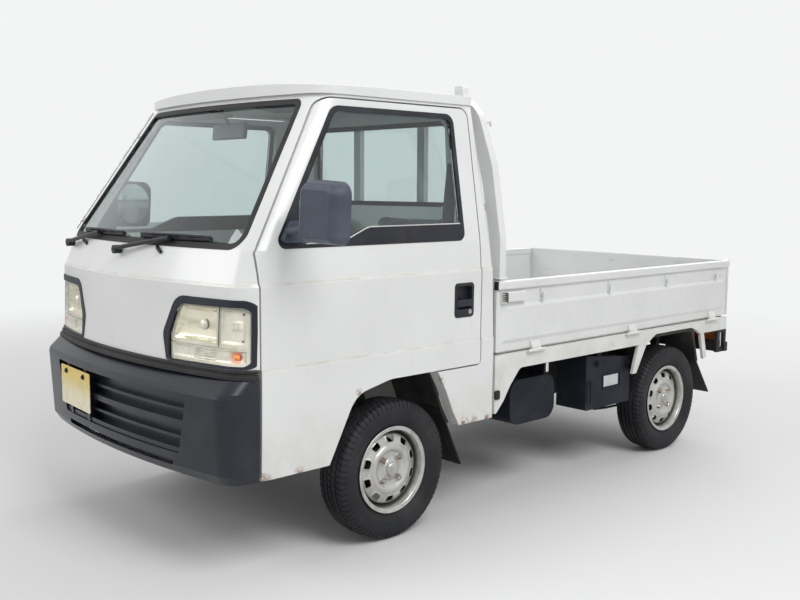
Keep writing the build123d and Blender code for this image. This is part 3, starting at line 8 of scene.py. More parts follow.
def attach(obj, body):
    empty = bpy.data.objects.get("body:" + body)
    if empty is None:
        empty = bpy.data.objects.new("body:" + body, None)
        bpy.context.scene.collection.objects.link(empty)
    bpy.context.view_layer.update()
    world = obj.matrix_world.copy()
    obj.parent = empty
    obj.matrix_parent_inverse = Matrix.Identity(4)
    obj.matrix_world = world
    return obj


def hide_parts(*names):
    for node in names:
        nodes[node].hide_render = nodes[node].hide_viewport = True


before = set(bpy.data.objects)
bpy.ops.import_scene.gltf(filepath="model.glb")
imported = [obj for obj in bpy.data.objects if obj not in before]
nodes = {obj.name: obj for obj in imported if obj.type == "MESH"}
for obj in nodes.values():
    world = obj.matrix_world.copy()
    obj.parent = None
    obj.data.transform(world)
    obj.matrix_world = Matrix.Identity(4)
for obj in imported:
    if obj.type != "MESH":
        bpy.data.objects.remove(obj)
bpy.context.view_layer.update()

# The viewpoint: at chest height off the truck's left front corner, with a lens a little longer
# than normal.
EYE = (3.292, -3.241, 1.333)
EYE_TURN = math.radians(47.01)
EYE_DIP = math.radians(6.64)
EYE_ROLL = math.radians(0.32)
LENS = 43.38
SENSOR_WIDTH = 36.0

camera = bpy.data.objects.new("viewpoint", bpy.data.cameras.new("viewpoint"))
bpy.context.scene.collection.objects.link(camera)
camera.data.lens = LENS
camera.data.sensor_width = SENSOR_WIDTH
aim = Euler((math.pi / 2 - EYE_DIP, 0, EYE_TURN)).to_matrix() @ Matrix.Rotation(EYE_ROLL, 3, "Z")
camera.matrix_world = Matrix.Translation(EYE) @ aim.to_4x4()
bpy.context.scene.camera = camera


# The studio: a wide pale floor that keeps the truck's shadow, a white room for the camera and
# for reflections, and three large soft lamps.
FLOOR_SIZE = 60.0
FLOOR_TONE = (0.70, 0.70, 0.70, 1.0)
FLOOR_ROUGHNESS = 0.9
ROOM_TONE = (0.90, 0.905, 0.91, 1.0)
ROOM_LIGHT = 0.50
FADE_START = 2.6
FADE_END = 7.5
# name, place, width of the square lamp, power
LAMPS = [
    ("key_lamp", (5.5, -1.5, 6.0), 4.0, 350),
    ("front_lamp", (-3.0, -6.5, 4.5), 4.0, 190),
    ("rear_lamp", (-1.0, 6.0, 5.5), 5.0, 230),
]
LAMP_AIM = Vector((0, 0, 0.8))


def fill(node, inputs):
    """Fills a node's inputs with values, or with links from other nodes."""
    for key, value in inputs.items():
        if isinstance(value, bpy.types.NodeSocket):
            node.id_data.links.new(value, node.inputs[key])
        else:
            node.inputs[key].default_value = value


def shader_node(near, kind, inputs=None, **settings):
    """Adds a shader node beside another node or socket, sets its options and fills its inputs."""
    made = near.id_data.nodes.new(kind)
    for key, value in settings.items():
        setattr(made, key, value)
    fill(made, inputs or {})
    return made


def reckoned(operation, *values):
    """The result of a sum on one or two values."""
    return shader_node(values[0], "ShaderNodeMath", dict(enumerate(values)), operation=operation).outputs[0]


def times(first, second):
    """The product of two values."""
    return reckoned("MULTIPLY", first, second)


def larger(first, second):
    """The larger of two values."""
    return reckoned("MAXIMUM", first, second)


def ramp(value, start, end):
    """0 before start and 1 after end, smooth between."""
    level = shader_node(value, "ShaderNodeMapRange", {"Value": value, "From Min": start, "From Max": end},
                        interpolation_type="SMOOTHSTEP")
    return level.outputs[0]


def object_spot(shader):
    """The surface point in the object's own frame."""
    return shader_node(shader, "ShaderNodeTexCoord").outputs["Object"]


def new_finish(name):
    """A new material: returns it with its Principled shader."""
    material = bpy.data.materials.new(name)
    material.use_nodes = True
    return material, material.node_tree.nodes["Principled BSDF"]


def mixed_surface(share, first, second):
    """Sends a mix of two shaders to the material's surface."""
    mix = shader_node(share, "ShaderNodeMixShader", {0: share, 1: first.outputs[0], 2: second.outputs[0]})
    fill(mix.id_data.nodes["Material Output"], {"Surface": mix.outputs[0]})


def link_object(name, mesh):
    """Puts a mesh or a lamp into the scene as an object of that name."""
    made = bpy.data.objects.new(name, mesh)
    bpy.context.scene.collection.objects.link(made)
    return made


floor_mesh = bpy.data.meshes.new("studio_floor")
half_floor = FLOOR_SIZE / 2
floor_mesh.from_pydata([(-half_floor, -half_floor, 0), (half_floor, -half_floor, 0),
                        (half_floor, half_floor, 0), (-half_floor, half_floor, 0)],
                       [], [(0, 1, 2, 3)])
studio_floor = link_object("studio_floor", floor_mesh)
floor_finish, floor_shader = new_finish("studio_floor")
fill(floor_shader, {"Base Color": FLOOR_TONE, "Roughness": FLOOR_ROUGHNESS})
# Away from the truck the floor fades into the room's own tone, so no horizon shows.
floor_reach = shader_node(floor_shader, "ShaderNodeVectorMath", {0: object_spot(floor_shader)},
                          operation="LENGTH").outputs["Value"]
floor_seen = shader_node(floor_shader, "ShaderNodeLightPath").outputs["Is Camera Ray"]
floor_share = times(ramp(floor_reach, FADE_START, FADE_END), floor_seen)
floor_glow = shader_node(floor_shader, "ShaderNodeEmission", {"Color": ROOM_TONE, "Strength": 1.0})
mixed_surface(floor_share, floor_shader, floor_glow)
floor_mesh.materials.append(floor_finish)

room = bpy.data.worlds.new("room")
bpy.context.scene.world = room
room.use_nodes = True
lit_room = room.node_tree.nodes["Background"]
fill(lit_room, {"Color": ROOM_TONE, "Strength": ROOM_LIGHT})
seen_room = shader_node(lit_room, "ShaderNodeBackground", {"Color": ROOM_TONE, "Strength": 1.0})
room_ray = shader_node(lit_room, "ShaderNodeLightPath").outputs
room_seen = larger(room_ray["Is Camera Ray"], room_ray["Is Glossy Ray"])
room_seen = larger(room_seen, room_ray["Is Transmission Ray"])
room_mix = shader_node(lit_room, "ShaderNodeMixShader", {
    0: room_seen, 1: lit_room.outputs[0], 2: seen_room.outputs[0]})
fill(room.node_tree.nodes["World Output"], {"Surface": room_mix.outputs[0]})

for name, place, size, power in LAMPS:
    light = bpy.data.lights.new(name, "AREA")
    light.size = size
    light.energy = power
    lamp = link_object(name, light)
    lamp.location = place
    lamp.rotation_mode = "QUATERNION"
    lamp.rotation_quaternion = (LAMP_AIM - Vector(place)).to_track_quat("-Z", "Y")
bpy.context.scene.view_settings.view_transform = "Standard"


# The cab's steel shell: welded pressings in white enamel, with road film low down, yellowed dirt
# and painted shade along the pressed creases, and a little rust along the sills.
ENAMEL_TONE = (0.705, 0.715, 0.705)
ENAMEL_PATCH = 0.94
FLOOR_ENAMEL_TONE = (0.30, 0.31, 0.31)
FILM_TONE = (0.50, 0.46, 0.39)
FILM_SHARE = 0.50
STREAK_SHARE = 0.22
STREAK_FOOT, STREAK_TOP = 0.45, 1.15
# Along each crease: a line of yellowed dirt that also carries painted shade.
CREASE_DIRT_AND_SHADE_TONE = (0.46, 0.40, 0.30)
CREASE_DIRT_AND_SHADE_SHARE = 0.55
CREASE_WIDTH = 0.007
CREASE_HEIGHTS = (0.7285, 1.0125)
RUST_TONE = (0.20, 0.075, 0.03)
SCUFF_TONE = (0.34, 0.33, 0.31)
CLEAN_ROUGHNESS, DIRTY_ROUGHNESS = 0.28, 0.60
ENAMEL_GLOSS = {"Coat Weight": 0.35, "Coat Roughness": 0.12, "Specular IOR Level": 0.45}
# scale, depth in metres
ENAMEL_GRAIN = (240.0, 0.00012)
CLOUD_ROUGHNESS = 0.55
GRAIN_DETAIL = 2.0
# place, reach
CAB_RUST = [
    ((0.697, -0.465, 0.392), 0.045), ((0.697, -0.405, 0.390), 0.035), ((0.697, -0.33, 0.392), 0.03),
    ((0.697, -0.600, 0.585), 0.03), ((0.672, -1.452, 1.128), 0.022), ((-0.697, -0.44, 0.392), 0.05),
]


def three_parts(spot):
    """A point's places along X, Y and Z."""
    return shader_node(spot, "ShaderNodeSeparateXYZ", {0: spot}).outputs


def cloud(spot, scale, detail, low, high, stretch=(1, 1, 1)):
    """Noise of that scale, opened up between two levels and stretched along the axes."""
    spread = shader_node(spot, "ShaderNodeMapping", {"Vector": spot, "Scale": stretch})
    grain = shader_node(spot, "ShaderNodeTexNoise", {
        "Vector": spread.outputs[0], "Scale": scale, "Detail": detail,
        "Roughness": CLOUD_ROUGHNESS})
    return ramp(grain.outputs[0], low, high)


def near_spot(spot, place, reach):
    """1 at a place, falling to 0 at a reach from it."""
    off = shader_node(spot, "ShaderNodeVectorMath", {0: spot, 1: place}, operation="DISTANCE")
    return ramp(off.outputs["Value"], reach, 0.0)


def laid_over(under, over, share):
    """One colour laid over another by a share. A plain colour is given as its three parts."""
    mix = shader_node(share, "ShaderNodeMix", {0: share}, data_type="RGBA")
    for socket, colour in ((6, under), (7, over)):
        fill(mix, {socket: colour if isinstance(colour, bpy.types.NodeSocket) else (*colour, 1.0)})
    return mix.outputs[2]


def graded(value, low, high):
    """A level that runs from low to high as a value runs from 0 to 1."""
    level = shader_node(value, "ShaderNodeMapRange", {"Value": value, "To Min": low, "To Max": high})
    return level.outputs[0]


def grained(shader, spot, scale, depth):
    """A fine bump of that scale and depth in metres on the shader."""
    grain = shader_node(spot, "ShaderNodeTexNoise", {"Vector": spot, "Scale": scale,
                                                  "Detail": GRAIN_DETAIL})
    bump = shader_node(spot, "ShaderNodeBump", {"Height": grain.outputs[0], "Distance": depth,
                                               "Strength": 1.0})
    fill(shader, {"Normal": bump.outputs[0]})


def white_enamel(name, tone=ENAMEL_TONE, film_foot=0.33, film_top=0.62, creases=CREASE_HEIGHTS,
                 rust_spots=(), scuffs=0.0):
    """White enamel with road film, dirt and painted shade along the creases, rust where it is named, and
    scuffs.
    """
    material, shader = new_finish(name)
    spot = object_spot(shader)
    height = three_parts(spot)[2]
    patchy = cloud(spot, scale=3.0, detail=3.0, low=0.3, high=0.75)
    colour = laid_over(tone, [ENAMEL_PATCH * part for part in tone], patchy)
    streak = times(ramp(height, STREAK_TOP, STREAK_FOOT),
                   cloud(spot, scale=1.0, detail=5.0, low=0.56, high=0.80, stretch=(26, 26, 1.6)))
    colour = laid_over(colour, FILM_TONE, times(streak, STREAK_SHARE))
    film = times(ramp(height, film_top, film_foot), cloud(spot, scale=9.0, detail=6.0, low=0.3, high=0.7))
    colour = laid_over(colour, FILM_TONE, times(film, FILM_SHARE))
    # A dirt-tinted line at each crease height: partly dirt, partly painted shade in the crease.
    for crease in creases:
        off = reckoned("ABSOLUTE", reckoned("SUBTRACT", height, crease))
        line = times(ramp(off, CREASE_WIDTH, 0.0),
                     cloud(spot, scale=14.0, detail=4.0, low=0.25, high=0.7))
        colour = laid_over(colour, CREASE_DIRT_AND_SHADE_TONE, times(line, CREASE_DIRT_AND_SHADE_SHARE))
    for place, reach in rust_spots:
        eaten = times(near_spot(spot, place, reach),
                      cloud(spot, scale=60.0, detail=6.0, low=0.42, high=0.60))
        colour = laid_over(colour, RUST_TONE, eaten)
    if scuffs:
        rubbed = cloud(spot, scale=1.0, detail=8.0, low=0.60, high=0.72, stretch=(9, 60, 60))
        colour = laid_over(colour, SCUFF_TONE, times(rubbed, scuffs))
    dull = graded(larger(film, streak), CLEAN_ROUGHNESS, DIRTY_ROUGHNESS)
    fill(shader, {"Base Color": colour, "Roughness": dull, **ENAMEL_GLOSS})
    grained(shader, spot, *ENAMEL_GRAIN)
    return material


def dress(node_names, material):
    """Gives CAD nodes their finish."""
    for name in node_names:
        mesh = nodes[name].data
        mesh.materials.clear()
        mesh.materials.append(material)


dress(["cab_front_panel", "windscreen_frame", "cab_roof", "cab_sides", "cab_back_wall"],
      white_enamel("cab_enamel", rust_spots=CAB_RUST))
dress(["cab_floor"], white_enamel("floor_enamel", tone=FLOOR_ENAMEL_TONE, film_top=0.9, scuffs=0.6))


# Window glass: flat and gently curved toughened panes with a faint green body colour, held in
# rubber and wiped clean, with a light smear here and there.
GLASS_TONE = (0.72, 0.80, 0.79, 1.0)
GLASS_IOR = 1.45
SMEAR_ROUGHNESS = 0.06


def window_glass(name, tone=GLASS_TONE):
    """Clear tinted glass that lets the lamps' light through."""
    material, shader = new_finish(name)
    smear = cloud(object_spot(shader), scale=5.0, detail=5.0, low=0.45, high=0.9)
    fill(shader, {"Base Color": tone, "Transmission Weight": 1.0, "IOR": GLASS_IOR,
                  "Roughness": graded(smear, 0.0, SMEAR_ROUGHNESS)})
    clear = shader_node(shader, "ShaderNodeBsdfTransparent", {"Color": tone})
    shadow_ray = shader_node(shader, "ShaderNodeLightPath").outputs["Is Shadow Ray"]
    mixed_surface(shadow_ray, shader, clear)
    return material


dress(["cab_glass", "door_glass_left", "door_glass_right"], window_glass("window_glass"))


# Rubber and moulded plastic: extruded window rubbers, grained black mouldings and the bumper's
# blue-black polypropylene, greyed by sun and dust.
DUST_TONE = (0.32, 0.30, 0.27)
DUST_DULLING = 0.35
BLEACH_GAIN, BLEACH_LIFT = 1.5, 0.006
BLEACH_SCALE = 0.7


def moulded(name, tone, rough, grain, dust, dust_tone=DUST_TONE, dust_scale=7.0, sheen=0.30):
    """Plastic or rubber of one colour, with a grain of a scale and depth, and patches of dust."""
    material, shader = new_finish(name)
    spot = object_spot(shader)
    bleached_tone = [min(1.0, BLEACH_GAIN * part + BLEACH_LIFT) for part in tone]
    bleached = cloud(spot, scale=dust_scale * BLEACH_SCALE, detail=4.0, low=0.35, high=0.75)
    powder = times(cloud(spot, scale=dust_scale, detail=8.0, low=0.42, high=0.85), dust)
    colour = laid_over(laid_over(tone, bleached_tone, bleached), dust_tone, powder)
    fill(shader, {"Base Color": colour, "Specular IOR Level": sheen,
                  "Roughness": graded(powder, rough, min(1.0, rough + DUST_DULLING))})
    grained(shader, spot, *grain)
    return material


black_rubber = moulded("black_rubber", (0.009, 0.009, 0.010), rough=0.55, grain=(500.0, 0.0002), dust=0.06)
black_plastic = moulded("black_plastic", (0.010, 0.011, 0.016), rough=0.40, grain=(1100.0, 0.0003), dust=0.06)
bumper_plastic = moulded("bumper_plastic", (0.006, 0.0085, 0.0145), rough=0.30, grain=(800.0, 0.0002),
                         dust=0.03, sheen=0.40)
mirror_plastic = moulded("mirror_plastic", (0.047, 0.056, 0.079), rough=0.42, grain=(900.0, 0.0003),
                         dust=0.06)
dress(["window_seals", "mud_flaps"], black_rubber)
dress(["door_trim_left", "door_trim_right", "wipers"], black_plastic)
dress(["mirror_left", "mirror_right"], mirror_plastic)
dress(["front_bumper"], bumper_plastic)


# Doors: pressed steel skins folded over their frames, in the cab's enamel, with rust at the
# lower front corner where the fold holds water.
DOOR_RUST = [  # place, reach
    ((0.697, -1.437, 0.358), 0.042), ((-0.697, -1.437, 0.358), 0.045),
    ((0.697, -1.29, 0.350), 0.035), ((0.697, -1.02, 0.60), 0.022),
]
dress(["door_left", "door_right"], white_enamel("door_enamel", rust_spots=DOOR_RUST))


# The aerial: a drawn rod of bright steel that slides in two plastic clips on the windscreen's
# pillar.
PATCH_DULLING = 0.2


def metal_finish(name, tone, rough, spotted, spot_scale=40.0, metallic=1.0):
    """Bare or plated metal with duller patches of a second tone."""
    material, shader = new_finish(name)
    patches = cloud(object_spot(shader), scale=spot_scale, detail=5.0, low=0.35, high=0.7)
    fill(shader, {"Base Color": laid_over(tone, spotted, patches), "Metallic": metallic,
                  "Roughness": graded(patches, rough, rough + PATCH_DULLING)})
    return material


bright_steel = metal_finish("bright_steel", (0.55, 0.56, 0.57), rough=0.28, spotted=(0.36, 0.36, 0.36))
dress(["antenna"], bright_steel)


# Wiper blades: a pressed steel bow with six claws that hold the rubber against the glass, in
# black, hooked on each arm.
SHIELD_FOOT = (-1.543, 1.125)
SHIELD_LEAN = 0.699
SHIELD_BOW = 5.4
SHIELD_TILT = 0.3
# from where to where across the windscreen
BLADES = [(-0.465, -0.070), (0.068, 0.470)]
BLADE_HEIGHT = 1.156
BLADE_RISE = 0.004
BOW_STEPS = 12
BOW_STAND = 0.012
BOW_ARCH = 0.013
BOW_RADIUS = 0.0042
BOW_SIDES = 10
CLAW_STAND = 0.013
CLAW_RADIUS = 0.0052
CLAW_SHARES = (0.02, 0.24, 0.42, 0.58, 0.76, 0.98)


def shield_spot(x, z, out):
    """A point in front of the windscreen at a place across and a height."""
    return Vector((x, SHIELD_FOOT[0] + SHIELD_LEAN * (z - SHIELD_FOOT[1]) + x * x / SHIELD_BOW - out,
                   z + SHIELD_TILT * out))


def skin(form, rings, round_trip=False, ends=True):
    """Faces between each closed ring of points and the next, round to the first or with ends."""
    for ring, after in zip(rings, rings[1:] + rings[:1] if round_trip else rings[1:]):
        for k in range(len(ring)):
            follow = (k + 1) % len(ring)
            form.faces.new((ring[k], ring[follow], after[follow], after[k]))
    if ends and not round_trip:
        form.faces.new(list(reversed(rings[0])))
        form.faces.new(rings[-1])


def round_turns(count):
    """Equal steps of one full turn, in radians."""
    return [2 * math.pi * i / count for i in range(count)]


def bent_rod(form, path, radius, sides=12):
    """A round rod along a path of points, added to a form."""
    points = [Vector(point) for point in path]
    rings = []
    across = (points[1] - points[0]).orthogonal().normalized()
    for i, point in enumerate(points):
        along = (points[min(i + 1, len(points) - 1)] - points[max(i - 1, 0)]).normalized()
        across = (across - along * across.dot(along)).normalized()
        other = along.cross(across)
        rings.append([form.verts.new(point + (across * math.cos(turn) + other * math.sin(turn)) * radius)
                      for turn in round_turns(sides)])
    skin(form, rings)


def meshed(name, form, finish, smooth_angle=35):
    """Turns a form into a mesh in its finish, crisp where faces meet above an angle."""
    bmesh.ops.recalc_face_normals(form, faces=form.faces)
    mesh = bpy.data.meshes.new(name)
    form.to_mesh(mesh)
    form.free()
    mesh.polygons.foreach_set("use_smooth", [True] * len(mesh.polygons))
    mesh.set_sharp_from_angle(angle=math.radians(smooth_angle))
    mesh.materials.append(finish)
    return mesh


def formed(name, form, finish, body, smooth_angle=35):
    """Turns a form into a finished object that rides on a body."""
    made = link_object(name, meshed(name, form, finish, smooth_angle))
    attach(made, body)
    return made


bows = bmesh.new()
for near, far in BLADES:
    bow = []
    for i in range(BOW_STEPS + 1):
        share = i / BOW_STEPS
        bow.append(shield_spot(near + (far - near) * share, BLADE_HEIGHT + BLADE_RISE,
                               BOW_STAND + BOW_ARCH * math.sin(math.pi * share)))
    bent_rod(bows, bow, BOW_RADIUS, BOW_SIDES)
    for share in CLAW_SHARES:
        x = near + (far - near) * share
        out = CLAW_STAND + BOW_ARCH * math.sin(math.pi * share)
        bent_rod(bows, [shield_spot(x, BLADE_HEIGHT, BLADE_RISE),
                        shield_spot(x, BLADE_HEIGHT + BLADE_RISE, out)], CLAW_RADIUS, BOW_SIDES)
formed("wiper_bows", bows, black_plastic, "chassis")


# Washer nozzles: two short black moulded spouts on the panel below the windscreen, each bowed a
# little off it.
NOZZLES = [  # root, tip
    ((-0.473, -1.500, 1.118), (-0.390, -1.524, 1.104)), ((0.195, -1.536, 1.122), (0.236, -1.545, 1.102)),
]
NOZZLE_BEND = Vector((0, -0.006, 0.004))
NOZZLE_RADIUS = 0.0065
nozzles = bmesh.new()
for root, tip in NOZZLES:
    root, tip = Vector(root), Vector(tip)
    bent_rod(nozzles, [root, root.lerp(tip, 0.5) + NOZZLE_BEND, tip], NOZZLE_RADIUS)
formed("washer_nozzles", nozzles, black_plastic, "chassis")


# Door trim: a thin pale bead along the top of the black belt filler, a keyed lock under the
# pull handle, and the mirrors' silvered glass, slightly crowned and pressed into its housing.
SIDES = (("left", 1), ("right", -1))
BELT_LINE = [(0.684, -1.245, 1.143), (0.684, -1.095, 1.143), (0.6825, -1.075, 1.147),
             (0.6765, -0.975, 1.187), (0.6745, -0.950, 1.193), (0.6740, -0.482, 1.195)]
BEAD_RADIUS = 0.0022
LOCK_PLACE = (0.6955, -0.441, 0.846)
# from how deep to how far out, radius at each end, sides
LOCK_BARREL = [(-0.003, 0.003, 0.011, 0.0095, 28)]
KEY_SLOT = [(-0.0032, 0.0032, 0.0016, 0.0016, 4)]
KEY_SLOT_STRETCH = 3.0
PANE_CENTRE = Vector((0.893, -1.3055, 1.255))
PANE_HALF = (0.092, 0.088)
PANE_CELLS = 16
PANE_LEAN = 0.003
PANE_CROWN = 0.0015
PANE_CORNER = 0.16
MIRROR_FOLD = math.radians(80)
MIRROR_PIVOT = Vector((0.715, -1.323, 0))
belt_bead = moulded("belt_bead", (0.50, 0.50, 0.49), rough=0.35, grain=(300.0, 0.0001), dust=0.10)
silvered = metal_finish("mirror_silver", (0.86, 0.87, 0.88), rough=0.02, spotted=(0.80, 0.81, 0.82),
                        spot_scale=9.0)


def stepped_boss(form, frame_matrix, steps):
    """Round steps along the frame's Z. Returns their points."""
    points = []
    for low, high, radius_low, radius_high, sides in steps:
        place = frame_matrix @ Matrix.Translation((0, 0, (low + high) / 2))
        points += bmesh.ops.create_cone(form, cap_ends=True, segments=sides, radius1=radius_low,
                                        radius2=radius_high, depth=high - low, matrix=place)["verts"]
    return points


for side_name, side in SIDES:
    bead = bmesh.new()
    bent_rod(bead, [(side * x, y, z) for x, y, z in BELT_LINE], BEAD_RADIUS, sides=8)
    formed(f"belt_bead_{side_name}", bead, belt_bead, f"door_{side_name}")
    lock = bmesh.new()
    stepped_boss(lock, Matrix.Identity(4), LOCK_BARREL)
    for vert in stepped_boss(lock, Matrix.Identity(4), KEY_SLOT):
        vert.co.x *= KEY_SLOT_STRETCH
    for vert in lock.verts:
        vert.co = Vector((side * (LOCK_PLACE[0] + vert.co.z), LOCK_PLACE[1] + vert.co.x,
                          LOCK_PLACE[2] + vert.co.y))
    formed(f"door_lock_{side_name}", lock, bright_steel, f"door_{side_name}")
    pane = bmesh.new()
    bmesh.ops.create_grid(pane, x_segments=PANE_CELLS, y_segments=PANE_CELLS, size=0.5)
    for vert in pane.verts:
        u, v = 2 * vert.co.x, 2 * vert.co.y
        squash = 1 - PANE_CORNER * (u * v) ** 4
        place = PANE_CENTRE + Vector((PANE_HALF[0] * u * squash + PANE_LEAN * v,
                                      -PANE_CROWN * (u * u + v * v), PANE_HALF[1] * v * squash))
        if side < 0:
            place = (Matrix.Rotation(MIRROR_FOLD, 3, "Z") @ (place - MIRROR_PIVOT)) + MIRROR_PIVOT
            place.x = -place.x
        vert.co = place
    formed(f"mirror_pane_{side_name}", pane, silvered, f"door_{side_name}")


# Headlamps: a blue-black moulded surround and a clear lens, over a pale moulded carrier that
# holds a deep bright bowl and its bulb, a plain silvered field with two screws outside it, and
# below them a bright field, a ribbed block and an orange bulb in a small bowl.
LENS_OUTLINE = [(0.332, 0.741), (0.692, 0.741), (0.692, 0.945), (0.380, 0.945), (0.329, 0.828)]
LENS_BAR = [(0.5705, 0.8075), (0.5775, 0.8075), (0.5775, 0.9405), (0.5705, 0.9405)]
LENS_BAR_DEPTH = 0.0025
MAIN_FIELD = [(0.356, 0.817), (0.566, 0.817), (0.566, 0.930), (0.398, 0.930), (0.358, 0.836)]
OUTER_FIELD = [(0.584, 0.817), (0.670, 0.817), (0.670, 0.930), (0.584, 0.930)]
LOWER_FIELD = [(0.350, 0.754), (0.674, 0.754), (0.674, 0.797), (0.350, 0.797)]
FIELD_CORNER = 0.007
LENS_BACK = 0.0085
CARRIER_DEPTH = LENS_BACK + 0.002
# Each field's sides slope in over this width, and its floor lies this far behind the carrier.
MAIN_WALL, MAIN_FLOOR = 0.012, 0.006
OUTER_WALL, OUTER_FLOOR = 0.007, 0.008
LOWER_WALL, LOWER_FLOOR = 0.005, 0.008
BOWL_DEPTH = 0.021
BOWL_REACH = 0.13
BOWL_SQUASH = 1.5
BULB = (0.482, 0.872)
FLUTES = (0.628, 0.660, 0.866, 0.892)
FLUTE_PITCH = 0.008
FLUTE_HEIGHT = 0.004
RIBS_START, RIBS_END = 0.463, 0.556
RIB_PITCH = 0.0078
RIB_FLOOR, RIB_HEIGHT = 0.004, 0.0035
RIB_BAR = 0.007
INDICATOR = (0.640, 0.7755)
INDICATOR_RADIUS = 0.024
INDICATOR_FLOOR, INDICATOR_DEPTH = 0.005, 0.012
SCREWS = [(0.660, 0.918), (0.660, 0.829)]
# how far behind the lens, radius, height
BULB_SHIELD = (0.022, 0.019, 0.014)
INDICATOR_BULB = (0.017, 0.0105, 0.013)
SCREW_HEAD = (0.0095, 0.0038, 0.003)
# A painted reflection of each orange bulb on the silvering round it: where it centres behind the lens, its
# reach and its tone.
BULB_REFLECTION_BEHIND = 0.018
BULB_REFLECTION_REACH = 0.034
BULB_REFLECTION_TONE = (0.85, 0.22, 0.05)
LOWER_TONE, LOWER_DULL_TONE = (0.78, 0.79, 0.79), (0.62, 0.61, 0.57)
PANEL_CELL = 0.0025
DOME_SIDES, DOME_RINGS = 24, 6
# The nose is one wide bow across the truck with a round corner at each end, and leans back.
NOSE_BOW = 2.70
NOSE_FACE = -1.601
NOSE_FOOT = 0.732
NOSE_LEAN = 0.044
CORNER_START = 0.6244
CORNER_CENTRE = (0.6025, 0.1656)
CORNER_RADIUS = 0.095


def nose_y(x, z):
    """Where the cab's front face lies at a place across and a height below the upper crease."""
    if abs(x) < CORNER_START:
        bow = NOSE_BOW - math.sqrt(NOSE_BOW ** 2 - x * x)
    else:
        past = min(abs(x) - CORNER_CENTRE[0], CORNER_RADIUS)
        bow = CORNER_CENTRE[1] - math.sqrt(CORNER_RADIUS ** 2 - past ** 2)
    return NOSE_FACE + bow + NOSE_LEAN * (z - NOSE_FOOT)


def rounded(corners, radius, steps=5):
    """A closed outline with its corners rounded."""
    outline = []
    for before, corner, after in zip(corners[-1:] + corners[:-1], corners, corners[1:] + corners[:1]):
        corner = Vector(corner)
        start = corner + (Vector(before) - corner).normalized() * radius
        end = corner + (Vector(after) - corner).normalized() * radius
        for step in range(steps + 1):
            share = step / steps
            spot = start.lerp(corner, share).lerp(corner.lerp(end, share), share)
            outline.append((spot.x, spot.y))
    return outline


def within(outline, u, v):
    """Whether a place lies inside a closed outline."""
    found = False
    for (u0, v0), (u1, v1) in zip(outline, outline[1:] + outline[:1]):
        if (v0 > v) != (v1 > v) and u < u0 + (v - v0) * (u1 - u0) / (v1 - v0):
            found = not found
    return found


def nearest_edge(outlines, u, v):
    """How far off the nearest outline is, and where on it."""
    best = (math.inf, (u, v))
    for outline in outlines:
        for (u0, v0), (u1, v1) in zip(outline, outline[1:] + outline[:1]):
            span = (u1 - u0) ** 2 + (v1 - v0) ** 2
            share = min(1, max(0, ((u - u0) * (u1 - u0) + (v - v0) * (v1 - v0)) / span))
            spot = (u0 + share * (u1 - u0), v0 + share * (v1 - v0))
            best = min(best, (math.hypot(u - spot[0], v - spot[1]), spot))
    return best


def panel(form, outline, holes, depth_at, side):
    """A sheet that fills an outline, bent to the nose, with its own depth at each place."""
    edges = [outline, *holes]
    low_u, low_v = min(u for u, v in outline), min(v for u, v in outline)
    columns = int((max(u for u, v in outline) - low_u) / PANEL_CELL) + 1
    rows = int((max(v for u, v in outline) - low_v) / PANEL_CELL) + 1
    kept = set()
    for i in range(columns):
        for j in range(rows):
            u, v = low_u + (i + 0.5) * PANEL_CELL, low_v + (j + 0.5) * PANEL_CELL
            if within(outline, u, v) and not any(within(hole, u, v) for hole in holes):
                kept.add((i, j))
    spots = {}
    for i, j in sorted(kept):
        corners = ((i, j), (i + 1, j), (i + 1, j + 1), (i, j + 1))
        for a, b in corners:
            if (a, b) not in spots:
                u, v = low_u + a * PANEL_CELL, low_v + b * PANEL_CELL
                if not {(a, b), (a - 1, b), (a, b - 1), (a - 1, b - 1)} <= kept:
                    u, v = nearest_edge(edges, u, v)[1]
                spots[a, b] = form.verts.new((side * u, nose_y(u, v) + depth_at(u, v), v))
        form.faces.new([spots[corner] for corner in corners])


def dome(form, place, behind, radius, height, side):
    """A round cap that stands forward from a place behind the lens."""
    u, v = place
    base = nose_y(u, v) + LENS_BACK + behind
    rings = []
    for j in range(DOME_RINGS):
        rise = math.pi / 2 * j / DOME_RINGS
        reach, lift = radius * math.cos(rise), height * math.sin(rise)
        rings.append([form.verts.new((side * (u + reach * math.cos(turn)), base - lift,
                                      v + reach * math.sin(turn))) for turn in round_turns(DOME_SIDES)])
    skin(form, rings, ends=False)
    tip = form.verts.new((side * u, base - height, v))
    for i in range(DOME_SIDES):
        form.faces.new((rings[-1][i], rings[-1][(i + 1) % DOME_SIDES], tip))


lens_outline, main_field, outer_field, lower_field = (
    rounded(corners, FIELD_CORNER) for corners in (LENS_OUTLINE, MAIN_FIELD, OUTER_FIELD, LOWER_FIELD))


def wall_share(field, wall, u, v):
    """0 on a field's edge and 1 once its sloping side has ended."""
    return min(1.0, nearest_edge([field], u, v)[0] / wall)


def main_depth(u, v):
    """A deep dish with steep sides."""
    off = math.hypot(u - BULB[0], BOWL_SQUASH * (v - BULB[1])) / BOWL_REACH
    dish = MAIN_FLOOR + (BOWL_DEPTH - MAIN_FLOOR) * max(0.0, 1 - off * off)
    return CARRIER_DEPTH + dish * wall_share(main_field, MAIN_WALL, u, v)


def outer_depth(u, v):
    """A shallow field with a block of four upright ribs high in its outer half."""
    depth = CARRIER_DEPTH + OUTER_FLOOR * wall_share(outer_field, OUTER_WALL, u, v)
    left, right, foot, top = FLUTES
    if left < u < right and foot < v < top:
        depth -= FLUTE_HEIGHT + FLUTE_HEIGHT * math.sin(2 * math.pi * (u - left) / FLUTE_PITCH)
    return depth


